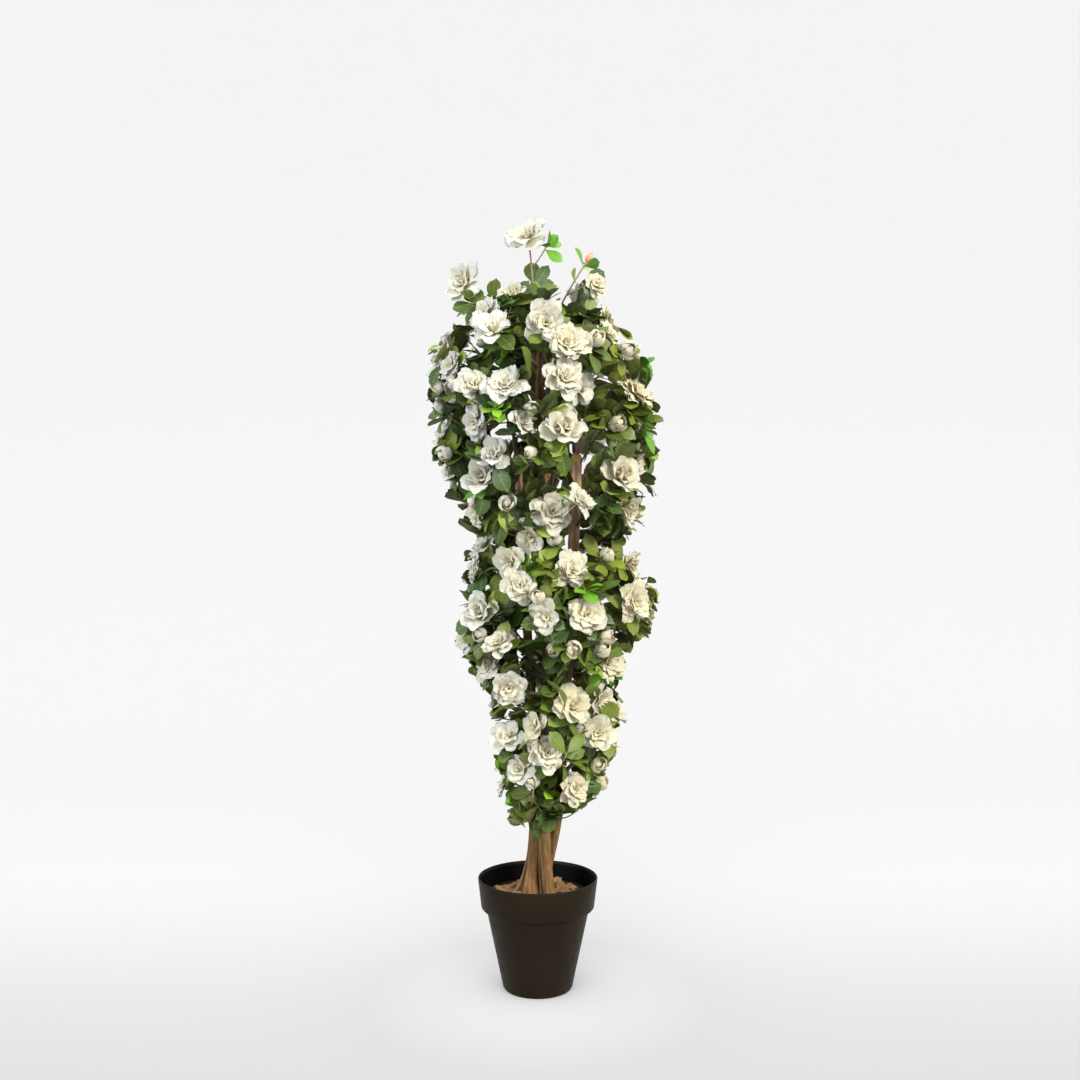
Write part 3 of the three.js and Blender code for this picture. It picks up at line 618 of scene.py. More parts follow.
def sideways(along, turn):
    side, across = frame_along(along)
    return side * math.cos(turn) + across * math.sin(turn)


def on_stem(spray, t):
    """A place on the wire stem, which runs straight from knot to knot, and its direction there."""
    start = spray["bough_end"]
    place = min(max((t - start) / (1 - start), 0), 1) * KNOTS
    step = min(KNOTS - 1, int(place))
    near, far = (middle_at(spray, start + (1 - start) * (step + i) / KNOTS) for i in range(2))
    return near + (far - near) * (place - step), unit(far - near)


def fits(points, spray, slack=0.0):
    points = np.asarray(points)
    normals, limits = spray["planes"]
    if (points @ normals.T > limits + slack).any():
        return False
    if any(meets(stem, points, ROOM_TRUNK).any() for stem in STEMS.values()):
        return False
    if spray["is_sprig"]:
        return bool((points[:, 2] > SPRIGS_FROM - slack).all())
    shift, reach = crown_at(points[:, 2])
    return bool((np.hypot(points[:, 0] - shift, points[:, 1]) < reach + ROOM_LOOSE + slack).all())


def clear_of_wires(points, spray):
    for other in SPRAYS:
        if other is spray:
            continue
        start, line = other["base"], middle_at(other, LEAFY_FROM) - other["base"]
        share = np.clip((points - start) @ line / (line @ line), 0, 1)
        if (np.linalg.norm(points - start - share[:, None] * line, axis=1) <= ROOM_WIRE).any():
            return False
    return True


def bloom_outline(to, along, bloom):
    lobes, height = bloom["lobes"], bloom["height"]
    middle = to + sideways(along, math.pi / (2 * lobes)) * bloom["aside"]
    points = [to, to + along * height]
    for i in range(2 * lobes):
        turn, lobe = i * math.pi / lobes, math.cos(i * math.pi)
        rim = middle + along * height * (0.5 - 0.16 * lobe)
        points.append(rim + sideways(along, turn) * bloom["radius"] * (0.86 + 0.14 * lobe))
    return np.array(points)


def shoots_of(spray):
    """The lead of a spray and its side shoots, each with its bloom, by the same draws for the same seed."""
    draw = seeded(spray["seed"])
    tip, lead = on_stem(spray, 1)
    kinds = [*BLOOMS, NO_BLOOM]
    bloom = next((kind for kind in kinds if fits(bloom_outline(tip, lead, kind), spray)), NO_BLOOM)
    shoots = [{"root": 1.0, "to": tip, "along": lead, "bloom": bloom}]
    start = max(spray["bough_end"] + 0.1, LEAFY_FROM)
    first_side = int(draw() * 4)
    for i in range(SHOOT_COUNT):
        root = start + (0.85 - start) * (i + 0.6 * draw()) / SHOOT_COUNT
        place, way = on_stem(spray, root)
        longest = min(SHOOT_LENGTH, spray["length"] * 0.7) * (0.8 + 0.4 * draw())
        angle = math.radians(SHOOT_ANGLE * (0.8 + 0.4 * draw()))
        for attempt in range(SHOOT_TRIES):
            turn = (first_side + i + attempt + 0.5) * math.pi / 2 + 0.3 * (draw() - 0.5)
            along = unit(way * math.cos(angle) + sideways(way, turn) * math.sin(angle) + UP * LIFT)
            round_now = attempt // 4
            bloom = kinds[min(3, 1 + round_now + (i > 0))]
            to = place + along * longest * SHORTEST**round_now
            outline = np.vstack([bloom_outline(to, along, bloom), (place + to) / 2])
            apart = all(
                np.linalg.norm(s["to"] - to) > (s["bloom"]["radius"] + bloom["radius"]) * ROOM_BLOOMS for s in shoots
            )
            if apart and fits(outline, spray) and clear_of_wires(outline, spray):
                shoots.append({"root": root, "to": to, "along": along, "bloom": bloom})
                break
    return shoots


SPRAYS = []
for row, (tier_height, _, _, count, first_turn) in enumerate(TIERS):
    shift, crown_radius = crown_at(tier_height)
    reach = crown_radius - min(INSET, INSET_SHARE * crown_radius)
    for i in range(count):
        degrees = (first_turn + 360 * i / count + 360) % 360
        angle = math.radians(degrees)
        sector = SECTORS[int(degrees / 45 + 0.5) % 8]
        tip = np.array([shift + reach * math.sin(angle), -reach * math.cos(angle), tier_height])
        SPRAYS.append({"name": f"foliage_{row + 1:02d}_{sector}", "tip": tip, "is_sprig": False})
SPRAYS += [{"name": name, "tip": np.array(tip, dtype=float), "is_sprig": True} for name, tip in SPRIGS.items()]
for i, spray in enumerate(SPRAYS):
    spray["base"] = min((root_on(stem, spray["tip"]) for stem in STEMS.values()), key=lambda root: root[0])[1]
    spray["length"] = np.linalg.norm(spray["tip"] - spray["base"])
    spray["seed"] = FIRST_SEED + i
for spray in SPRAYS:
    planes = [parting_plane(spray, other) for other in SPRAYS if other is not spray]
    spray["planes"] = (np.array([normal for normal, _ in planes]), np.array([limit for _, limit in planes]))
by_length = sorted(SPRAYS, key=lambda spray: -spray["length"])
for spray in SPRAYS:
    spray["bough_end"] = BOUGH_SHARE if any(spray is long for long in by_length[:BOUGH_COUNT]) else 0.0
for spray in SPRAYS:
    spray["shoots"] = shoots_of(spray)

# ---- The finer growth ----
# Each spray goes on into twigs that only bear leaves, and each tip gets a whorl of leaves and, where it has
# room, a bloom. This growth keeps to the crown's own reach. The sections below make it of wire, silk and cloth.
# Rows of height, left reach and right reach:
OUTLINE = np.array([
    (232, 20, 18), (261, 47, 35), (292, 47, 90), (323, 60, 104), (355, 72, 113), (386, 75, 130), (417, 75, 134),
    (449, 75, 134), (480, 96, 141), (512, 125, 144), (543, 135, 170), (574, 135, 187), (606, 130, 191),
    (637, 121, 184), (669, 118, 160), (684, 105, 134), (700, 98, 140), (731, 134, 172), (763, 148, 187),
    (794, 148, 187), (826, 166, 187), (857, 166, 197), (888, 170, 195), (920, 179, 175), (951, 177, 178),
    (982, 173, 182), (1014, 168, 152), (1045, 116, 118), (1075, 92, 92), (1092, 66, 40), (1106, 50, 25),
], dtype=float)
# The lengths of stem that stay in view from the front, as heights.
BARE = {"trunk_right": (655, 868), "trunk_front": (905, 985)}
BARE_HALF = 11
SPRIG_LEVEL, SPRIG_ABOVE, CROWN_FOOT, CROWN_HEAD = 60, 27, 228, 1106
LEAD_TWIGS, SPRIG_TWIGS, TWIG_LENGTH, SHOOT_TWIG_LENGTH = 7, 1, (22, 44), (14, 26)
TWIG_TRIES, TWIG_FADE, TWIG_SPREAD, TWIGS_FROM, TWIGS_TO, SHOOT_TWIGS_AT = 7, 0.92, (38, 66), 0.30, 0.93, (0.45, 0.75)
GOLDEN = math.radians(137.5)


def before_bare_stem(points, reach=0.0):
    points = np.atleast_2d(points)
    for name, (low, high) in BARE.items():
        middle = stem_middle(STEMS[name], points[:, 2])
        before = (points[:, 1] < middle[:, 1]) & (np.abs(points[:, 0] - middle[:, 0]) < BARE_HALF + reach)
        if (before & (points[:, 2] > low) & (points[:, 2] < high)).any():
            return True
    return False


def within_outline(points, spray, slack):
    """Keeps the finer growth inside the crown's reach, a sprig's close round its tip, and bare stem in view."""
    points = np.asarray(points)
    if before_bare_stem(points):
        return False
    if spray["is_sprig"]:
        away = points - spray["tip"]
        near = np.hypot(away[:, 0], away[:, 1]) < SPRIG_LEVEL + slack
        return bool((near & (away[:, 2] < SPRIG_ABOVE)).all())
    shift, reach = crown_at(points[:, 2], OUTLINE)
    inside = np.hypot(points[:, 0] - shift, points[:, 1]) < reach + slack
    return bool((inside & (points[:, 2] > CROWN_FOOT) & (points[:, 2] < CROWN_HEAD)).all())


twig_chance = np.random.default_rng(77)
for spray in SPRAYS:
    start = max(spray["bough_end"] + 0.02, TWIGS_FROM)
    spray["twigs"] = []
    count = SPRIG_TWIGS if spray["is_sprig"] else LEAD_TWIGS
    places = [(on_stem(spray, t), TWIG_LENGTH) for t in np.linspace(start, TWIGS_TO, count)]
    for shoot in spray["shoots"][1:]:
        shoot["from"] = on_stem(spray, shoot["root"])[0]
        for share in () if spray["is_sprig"] else SHOOT_TWIGS_AT:
            place = shoot["from"] + (shoot["to"] - shoot["from"]) * share
            places.append(((place, shoot["along"]), SHOOT_TWIG_LENGTH))
    turn = twig_chance.uniform(0, 6.28)
    for (place, way), lengths in places:
        for attempt in range(TWIG_TRIES):
            turn += GOLDEN if attempt == 0 else 0.9
            angle = math.radians(twig_chance.uniform(*TWIG_SPREAD))
            along = unit(way * math.cos(angle) + sideways(way, turn) * math.sin(angle) + UP * 0.1)
            to = place + along * twig_chance.uniform(*lengths) * TWIG_FADE**attempt
            if fits([to, to + along * 12], spray, 3.0) and within_outline([to], spray, 0):
                spray["twigs"].append({"from": place, "to": to, "along": along, "size": 0})
                break

# Blooms that face forward stand at set places, given as left-right place, height and radius; each has a twig
# from the nearest wire. More of them open on the outer tips wherever these leave room.
FACING = [
    (-66, 1009, 34), (12, 1016, 34), (77, 1020, 32), (83, 990, 11), (131, 984, 11), (109, 1009, 28), (-151, 979, 28),
    (-133, 962, 27), (-92, 928, 30), (-44, 898, 34), (40, 935, 34), (-148, 931, 11), (-148, 904, 11), (-20, 871, 28),
    (33, 859, 31), (-148, 813, 28), (-19, 818, 11), (-97, 807, 11), (-63, 825, 27), (-110, 769, 31), (27, 763, 35),
    (112, 774, 33), (66, 759, 27), (165, 803, 27), (40, 726, 28), (25, 703, 11), (-11, 703, 29), (-100, 656, 27),
    (-42, 666, 30), (44, 641, 32), (144, 663, 26), (106, 678, 11), (-60, 602, 34), (0, 616, 11), (11, 587, 26),
    (147, 607, 33), (-111, 553, 30), (-85, 560, 11), (-60, 553, 27), (52, 543, 11), (-63, 512, 34), (94, 538, 11),
    (128, 531, 11), (47, 475, 34), (102, 487, 27), (99, 460, 27), (-56, 477, 27), (124, 432, 28), (91, 409, 30),
    (77, 384, 28), (-45, 403, 30), (-7, 421, 29), (14, 384, 34), (-29, 355, 28), (-9, 335, 11), (59, 325, 29),
    (91, 355, 11), (-100, 693, 27), (-26, 634, 29), (-73, 626, 29),
]
FACING_CLOSE, FACING_DEPTH, FACING_TILT = 0.62, 0.90, 0.32
OPEN_MORE, CLOSE, OUTER, MORE_SIZES, BEHIND = 60, 0.74, 0.55, (27, 34), -15
# Tips of the rule that bear leaves, new leaves, a bud or nothing in place of their bloom, and blooms that are
# turned aside, moved or broader.
BEARS = {
    ("foliage_top", 1): "nothing", ("foliage_top", 2): "nothing", ("foliage_top", 3): "new leaves",
    ("foliage_top_left", 1): "leaves", ("foliage_top_left", 2): "leaves", ("foliage_top_left", 3): "leaves",
    ("foliage_top_right", 0): "red bud", ("foliage_top_right", 2): "leaves", ("foliage_top_right", 3): "nothing",
    ("foliage_01_front_left", 0): "leaves", ("foliage_01_front_left", 1): "leaves",
}
TURNED = {
    ("foliage_top", 0): (-0.40, -0.72, 0.56), ("foliage_top_left", 0): (-0.60, -0.75, 0.25),
    ("foliage_top", 3): (0.60, -0.60, 0.45),
}
MOVED = {("foliage_top", 3): (14.0, -14.0, 1158.0)}
BROADEST, BROADER, FULLER, PLAINER, HEART = ["foliage_top", "foliage_top_left"], 1.14, 1.22, 1.06, 10
FREE = {"planes": (np.zeros((0, 3)), np.zeros(0)), "is_sprig": False}
wire_points = np.concatenate([
    middle_at(spray, np.linspace(0.3, 1, 22)) for spray in SPRAYS if not spray["is_sprig"]
])


def nearest_wire(point, below=20):
    """The point of the leads' wires that is nearest to a place a little inward of a tip and below it."""
    away = np.linalg.norm(wire_points - (point * (0.8, 0.8, 1) - UP * below), axis=1)
    return wire_points[away.argmin()]


def outward_at(place, lift=0.22):
    """The direction out of the crown at a place, turned up a little."""
    shift, reach = crown_at(place[2])
    return unit(np.array([0.9 * (place[0] - shift), place[1], lift * reach]))


bloom_tips = []
for spray in SPRAYS:
    for i, shoot in enumerate(spray["shoots"]):
        shoot["bears"] = BEARS.get((spray["name"], i), "bloom")
        shoot["to"] = np.array(MOVED.get((spray["name"], i), shoot["to"]))
        shoot["along"] = unit(np.array(TURNED.get((spray["name"], i), shoot["along"])))
        shoot["size"] = shoot["bloom"]["radius"] * (FULLER if 20 < shoot["bloom"]["radius"] < 30 else PLAINER)
        if shoot["bears"] != "bloom" or shoot["size"] < 5 or before_bare_stem(shoot["to"], 8):
            shoot["size"] = 0
        if i == 0 and spray["name"] in BROADEST:
            shoot["broad"] = True
            shoot["size"] *= BROADER
        bloom_tips.append(shoot)


def room_for(heart, size, close, own=None):
    return all(
        np.linalg.norm(other["to"] + other["along"] * HEART - heart) > close * (other["size"] + size)
        for other in bloom_tips if other is not own and other["size"]
    )


free_twigs = []


def plug_in(root, to, along, size=0, **more):
    """Adds one twig that belongs to no spray, and its bloom where it has a size."""
    tip = {"from": root, "to": to, "along": along, "size": size, **more}
    free_twigs.append(tip)
    if size:
        bloom_tips.append(tip)


for x, z, size in FACING:
    shift, reach = crown_at(z, OUTLINE)
    reach = reach * FACING_DEPTH
    x = min(max(x, shift - reach + 1), shift + reach - 1)
    heart = np.array([x, -math.sqrt(reach**2 - (x - shift) ** 2), z])
    if room_for(heart, size, FACING_CLOSE):
        along = unit(outward_at(heart) + twig_chance.normal(0, FACING_TILT, 3))
        to = heart - along * HEART
        plug_in(nearest_wire(to), to, along, size)
# Two more stand among the sprigs: root, place, direction and radius.
for root, to, along, size in (
    ((64, -22, 1032), (88, -26, 1094), (0.45, -0.78, 0.35), 23),
    ((-26, -20, 1016), (-38, -24, 1078), (-0.3, -0.7, 0.35), 25),
):
    plug_in(np.array(root, dtype=float), np.array(to, dtype=float), unit(np.array(along)), size)
tips_left = []
for spray in SPRAYS:
    for tip in spray["shoots"] + spray["twigs"]:
        shift, reach = crown_at(tip["to"][2])
        outness = math.hypot(tip["to"][0] - shift, tip["to"][1]) / (reach + 1)
        if tip["size"] < 20 and outness > OUTER and tip["to"][1] > BEHIND and not spray["is_sprig"]:
            tips_left.append((twig_chance.random(), tip, spray))
opened = 0
for _, tip, spray in sorted(tips_left, key=lambda entry: entry[0]):
    size = twig_chance.uniform(*MORE_SIZES)
    heart = tip["to"] + tip["along"] * HEART
    rim = heart + np.array([sideways(tip["along"], turn) for turn in np.arange(6) * math.pi / 3]) * size * 0.9
    apart = room_for(heart, size, CLOSE, tip)
    if opened < OPEN_MORE and apart and fits(rim, spray, 16.0) and within_outline(rim, spray, 8.0):
        tip["size"] = size
        if not any(tip is other for other in bloom_tips):
            bloom_tips.append(tip)
        opened += 1

# Leafy tips at set places: bright young whorls, the crown's furthest leaves and those that hang at its foot
# (left-right place, depth, height, young, lift). The hanging ones are plugged into a stem.
HANGING, HUNG_FROM = 290, 22
LEAFY = [
    (158, -40, 967, 1, 0.2), (166, -30, 940, 1, 0.2), (162, -45, 868, 1, 0.2), (-78, -130, 812, 1, 0.2),
    (-19, -105, 656, 1, 0.4), (70, -120, 626, 1, 0.2), (20, -90, 560, 1, 0.3), (-60, -150, 890, 1, 0.2),
    (100, -110, 440, 1, 0.2), (-20, -60, 330, 1, 0.2), (-122, -20, 790, 0, 0.2), (-118, 10, 760, 0, 0.2),
    (165, 0, 790, 0, 0.2), (168, -10, 632, 0, 0.2), (172, 0, 604, 0, 0.2), (-112, 0, 536, 0, 0.2),
    (150, 0, 560, 0, 0.2), (-150, -30, 1000, 0, 0.2), (-58, 0, 420, 0, 0.2), (120, 0, 400, 0, 0.2),
    (-46, -40, 1060, 0, 1.0), (2, -40, 1062, 0, 0.6), (14, -20, 1078, 0, -0.6),
    (-28, -20, 268, 0, -0.3), (-16, -24, 266, 0, -1.2), (-32, -8, 284, 0, 0.0), (24, -24, 290, 0, -0.4),
    (84, 0, 316, 0, 0.1),
    (128, -30, 700, 0, 0.3), (-96, 20, 708, 0, 0.3),
]
for x, y, z, young, lift in LEAFY:
    to = np.array([x, y, z], dtype=float)
    root = nearest_wire(to, 10)
    if z < HANGING:
        root = stem_point(min(STEMS.values(), key=lambda stem: from_middle(stem, to)), z + HUNG_FROM)
    plug_in(root, to, outward_at(to, lift), bears="new leaves" if young else "leaves")
# A bundle of wires rises from the sawn head of the right stem.
head = stem_point(STEMS["trunk_right"], STEMS["trunk_right"]["head"])
for to in ((60, -34, 894), (74, -46, 904), (90, -30, 898), (80, -12, 912), (68, -20, 916)):
    root = head + np.array([twig_chance.uniform(-2, 4), twig_chance.uniform(-6, 0), -3])
    plug_in(root, np.array(to, dtype=float), unit(np.array(to, dtype=float) - root), old=0.8)
# Short leafy twigs are also plugged straight into the stems.
STEM_TWIG_STEP, STEM_TWIG_LENGTH, STEM_TWIG_FROM = 34, (34, 66), 262
for stem in STEMS.values():
    turn = twig_chance.uniform(0, 6.28)
    for z in np.arange(STEM_TWIG_FROM, stem["head"] - 25, STEM_TWIG_STEP):
        for attempt in range(4):
            turn += GOLDEN
            way = unit(np.array([math.sin(turn), -math.cos(turn), 0.45]))
            root = stem_point(stem, z)
            to = root + way * twig_chance.uniform(*STEM_TWIG_LENGTH)
            if fits([to, to + way * 15], FREE) and within_outline([to], FREE, 0):
                plug_in(root, to, way)
                break

# The leaves: a spiral that crowds into a whorl at each tip, or just below its bloom.
LEAF_LENGTH, LEAF_WIDTH, LEAF_SIZES, LEAF_LOOSE, SPRIG_LOOSE = 43.0, 24.0, (0.70, 1.18), 6.0, 16.0
LEAF_DROOP, LEAF_SWAY, FACE_SWAY, SPREAD_AT_TIP, SPREAD_AT_BLOOM, SPREAD_STEP = (-0.02, 0.40), 17, 0.40, 36, 58, 3.5
# How far each try turns a leaf on round its wire, and the share of its length that it keeps.
LEAF_TRIES = [(0.0, 1), (0.7, 1), (-0.7, 1), (0.0, 0.8), (1.4, 0.8)]
LEAD_LEAVES, SHOOT_LEAVES, TWIG_LEAVES, FREE_LEAVES = 11, 6, 4, 7
CROWDED, CROWDED_STEP, LOOSE_STEP = 6, 1.6, 6.5
YOUNG = {"foliage_12_right": 0.25, "foliage_10_right": 0.2, "foliage_05_front_right": 0.3}
YOUNG_SHARE, YOUNG_SIZE, FEWEST = 0.08, 0.78, 2
SPRIG_FACING = np.array([0.0, -0.75, 0.35])
# On a sprig: leaves at the tip, how far back the second whorl is, and its leaves.
SPRIG_WHORLS = {"foliage_top": (2, 66, 10), "foliage_top_left": (5, 40, 4), "foliage_top_right": (4, 30, 1)}
IN_BLOOM = [tip for tip in bloom_tips if tip["size"]]
BLOOM_TO, BLOOM_ALONG, BLOOM_RADIUS = (np.array([tip[key] for tip in IN_BLOOM]) for key in ("to", "along", "size"))
BLOOM_HALF = np.where(BLOOM_RADIUS < 20, 14.0, 11.0)
BLOOM_HEART = BLOOM_TO + BLOOM_ALONG * 11


def clear_of_blooms(points):
    away = points[:, None] - BLOOM_HEART
    axial = (away * BLOOM_ALONG).sum(-1)
    across = np.linalg.norm(away - axial[..., None] * BLOOM_ALONG, axis=-1)
    return bool(((axial / (BLOOM_HALF + 2)) ** 2 + (across / (BLOOM_RADIUS * 0.9)) ** 2 > 1).all())


leaf_chance = np.random.default_rng(2024)
leaves = []


def grow_leaf(spray, root, way, turn, spread, size, tone, cool):
    """Adds one leaf, turned on or shortened until it is clear of blooms, limbs and neighbours' spaces."""
    for more, kept in LEAF_TRIES:
        length = LEAF_LENGTH * size * kept
        angle = math.radians(spread + leaf_chance.uniform(-LEAF_SWAY, LEAF_SWAY))
        along = unit(way * math.cos(angle) + sideways(way, turn + more) * math.sin(angle) + UP * 0.08)
        face = way * 0.5 + (SPRIG_FACING if spray["is_sprig"] else UP * 0.75) + leaf_chance.normal(0, FACE_SWAY, 3)
        face = unit(face - along * (face @ along))
        droop = leaf_chance.uniform(*LEAF_DROOP) * length
        side = np.cross(along, face)
        belly = root + along * length * 0.62 - face * droop * 0.35
        tips = np.array([
            root + along * length - face * droop, belly + side * LEAF_WIDTH * 0.4, belly - side * LEAF_WIDTH * 0.4,
        ])
        loose = SPRIG_LOOSE if spray["is_sprig"] else LEAF_LOOSE
        if fits(tips, spray, loose) and within_outline(tips, spray, 3.0) and clear_of_blooms(tips):
            leaves.append((root, along, face, length, size, droop, tone, cool))
            return 1
    return 0


def grow_whorl(spray, tip, path, count, tone):
    """The leaves of one tip, from its end back along its wire."""
    if tip.get("bears") == "nothing":
        return
    if tip.get("bears") in ("new leaves", "red bud"):
        tone = 2.0 + leaf_chance.uniform(0, 1)
    fresh = YOUNG_SIZE if tone >= 2 else 1.0
    # Besides their random cool tint, leaves further left are bluer, as painted shade.
    cool = float(np.clip(0.56 - tip["to"][0] / 650 + leaf_chance.normal(0, 0.34), 0, 1))
    away = np.linalg.norm(path - path[-1], axis=1)[::-1]
    turn = leaf_chance.uniform(0, 6.28)
    for i in range(count):
        back = (4.5 if tip["size"] else 0.0) + CROWDED_STEP * min(i, CROWDED) + LOOSE_STEP * max(0, i - CROWDED)
        spread = (SPREAD_AT_BLOOM if tip["size"] else SPREAD_AT_TIP) + min(i, 8) * SPREAD_STEP
        size = leaf_chance.uniform(*LEAF_SIZES) * (0.86 if i == 0 else 1) * fresh
        if spray["is_sprig"]:
            at_tip, second_back, second_leaves = SPRIG_WHORLS[spray["name"]]
            at_tip = 5 if tip.get("bears") == "new leaves" else at_tip
            if i >= at_tip + (second_leaves if count == LEAD_LEAVES else 0):
                break
            if i >= at_tip:
                back, spread, size, tone = second_back + 1.5 * i, 84, size * 1.2, min(tone, 0.5)
            elif tip.get("bears") == "red bud":
                back, spread = back + 5, spread + 22
        if back > away[-1] - 2:
            break
        root = np.array([np.interp(back, away, path[::-1, axis]) for axis in range(3)])
        tip["leaves"] = tip.get("leaves", 0) + grow_leaf(
            spray, root, tip["along"], turn, spread, size, tone + leaf_chance.normal(0, 0.07), cool,
        )
        turn += GOLDEN


def bent_path(start, to, bend, points=8):
    t = np.linspace(0, 1, points)[:, None]
    return start + (to - start) * t + bend * np.sin(math.pi * t)


def free_path(twig, points):
    return bent_path(twig["from"], twig["to"] + twig["along"] * 2, UP * -6 + twig["along"] * -4, points)


for spray in SPRAYS:
    # Besides their random tone, sprays further right are paler, as painted light.
    spray_tone_and_painted_light = 0.36 + spray["tip"][0] / 520 + leaf_chance.uniform(-0.24, 0.24)
    lead_path = middle_at(spray, np.linspace(max(spray["bough_end"], 0.26), 1, 30))
    runs = [(spray["shoots"][0], lead_path, LEAD_LEAVES)]
    runs += [(shoot, np.linspace(shoot["from"], shoot["to"], 12), SHOOT_LEAVES) for shoot in spray["shoots"][1:]]
    runs += [(twig, np.linspace(twig["from"], twig["to"], 6), TWIG_LEAVES) for twig in spray["twigs"]]
    for tip, path, count in runs:
        young = leaf_chance.random() < YOUNG.get(spray["name"], YOUNG_SHARE)
        tone = float(np.clip(spray_tone_and_painted_light + leaf_chance.normal(0, 0.26), 0, 1))
        grow_whorl(spray, tip, path, count, 2.0 + leaf_chance.uniform(0, 1) if young else tone)
for twig in free_twigs:
    # Free twigs further right are also paler, as painted light.
    tone = float(np.clip(0.36 + twig["to"][0] / 520 + leaf_chance.normal(0, 0.28), 0, 1))
    young = leaf_chance.random() < YOUNG_SHARE
    grow_whorl(FREE, twig, free_path(twig, 12), FREE_LEAVES, 2.0 + leaf_chance.uniform(0, 1) if young else tone)

# ---- Main boughs ----
# The eight longest sprays stand on a bough: a stout wire bound in brown bark paper, let into the stem and
# ending where its leafy spray begins.
BOUGH_ROOT, BOUGH_TIP, BOUGH_RINGS, BOUGH_SIDES = 3.8, 2.8, 15, 10


def tube(path, radii, sides):
    """A closed round tube along a path, as points and four-cornered faces."""
    path, radii = np.asarray(path, dtype=float), np.asarray(radii, dtype=float)
    ways = np.gradient(path, axis=0)
    ways /= np.linalg.norm(ways, axis=1)[:, None]
    side = frame_along(ways[0])[0]
    turns = np.arange(sides) * 2 * math.pi / sides
    rings = []
    for point, way, radius in zip(path, ways, radii):
        side = unit(side - way * (side @ way))
        across = np.cross(way, side)
        rings.append(point + radius * (np.outer(np.cos(turns), side) + np.outer(np.sin(turns), across)))
    return np.concatenate(rings), ring_quads(len(path), sides)[:, ::-1]


def joined_tubes(name, tubes, material, **attributes):
    firsts = np.cumsum([0] + [len(points) for points, _ in tubes])
    quads = np.concatenate([quads + first for (_, quads), first in zip(tubes, firsts)])
    return joined_piece(name, np.concatenate([points for points, _ in tubes]), quads, [material], **attributes)


wrapped = mottled(
    "bark_paper", 0.75, (210, 0.35, 0.7, 0.5), (0.105, 0.058, 0.030), (0.205, 0.125, 0.068), 900, 0.4, 0.0005,
)
boughs = []
for spray in SPRAYS:
    if spray["bough_end"]:
        share = np.linspace(0, 1, BOUGH_RINGS)
        knobs = 1 + 0.06 * np.sin(share * 21 + spray["seed"]) + 0.04 * np.sin(share * 47)
        radii = (BOUGH_ROOT + (BOUGH_TIP - BOUGH_ROOT) * share) * knobs
        boughs.append(tube(middle_at(spray, share * spray["bough_end"]), radii, BOUGH_SIDES))
main_boughs = joined_tubes("main_boughs", boughs, wrapped)
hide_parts(*(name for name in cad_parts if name.startswith("bough_")))

# ---- Spray wires ----
# Plastic-covered wires: a lead for each spray, its side shoots, and finer twigs that only bear leaves. The
# wires are brown at the stem and tan towards the blooms. Each kind has a radius at its root and its tip, and sides.
LEAD_WIRE, SHOOT_WIRE, TWIG_WIRE = (1.7, 1.25, 8), (1.2, 0.95, 6), (0.9, 0.6, 6)
LEAD_FROM, SHOOT_SAG, SHOOT_BEND, TWIG_SAG = 0.97, -2.5, 1.5, -1.5


wires, wire_age = [], []


def add_wire(path, kind, old, young):
    root, tip, sides = kind
    wires.append(tube(path, np.linspace(root, tip, len(path)), sides))
    wire_age.append(np.repeat(np.linspace(old, young, len(path)), sides))


def bears_enough(tip):
    return tip["size"] or tip.get("leaves", 0) >= FEWEST


for spray in SPRAYS:
    add_wire(middle_at(spray, np.linspace(spray["bough_end"] * LEAD_FROM, 1, 14)), LEAD_WIRE, 0.0, 0.6)
    for shoot in spray["shoots"][1:]:
        bend = UP * SHOOT_SAG + sideways(shoot["along"], twig_chance.uniform(0, 6.28)) * SHOOT_BEND
        if bears_enough(shoot):
            add_wire(bent_path(shoot["from"], shoot["to"], bend), SHOOT_WIRE, 0.25, 1.0)
    for twig in filter(bears_enough, spray["twigs"]):
        add_wire(bent_path(twig["from"], twig["to"], UP * TWIG_SAG, 5), TWIG_WIRE, 0.35, 0.9)
for twig in filter(bears_enough, free_twigs):
    add_wire(free_path(twig, 9), SHOOT_WIRE, twig.get("old", 0.25), 1.0)

covered, covered_tree, covered_shader = new_material("covered_wire", 0.6)
brown_wire = blend(covered_tree, mottle(covered_tree, 300), (0.085, 0.042, 0.022), (0.155, 0.085, 0.045))
aged_wire = blend(covered_tree, attribute_of(covered_tree, "age"), brown_wire, (0.36, 0.25, 0.15))
coat(covered_tree, covered_shader, aged_wire)
spray_wires = joined_tubes("spray_wires", wires, covered, age=np.concatenate(wire_age))
FOLIAGE_NODES = [spray["name"] for spray in SPRAYS]
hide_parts(*FOLIAGE_NODES)

# ---- Silk leaves ----
# Printed polyester leaves, rounded at the tip and narrowed to a stalk, with a pressed midrib, an arch and a
# slight fold. Old ones run from blue-green to olive. This is partly at random and partly painted light: they are
# paler towards the right as painted light and bluer towards the left as painted shade. New ones are a bright green.
LEAF_THICK, LEAF_COLUMNS, LEAVES_A_PIECE = 0.5, 4, 2000
LEAF_ROWS_AT = np.array([0, 0.12, 0.30, 0.50, 0.70, 0.88, 1.0])
LEAF_WIDTHS = np.array([0.07, 0.15, 0.56, 0.92, 1.0, 0.76, 0.20])


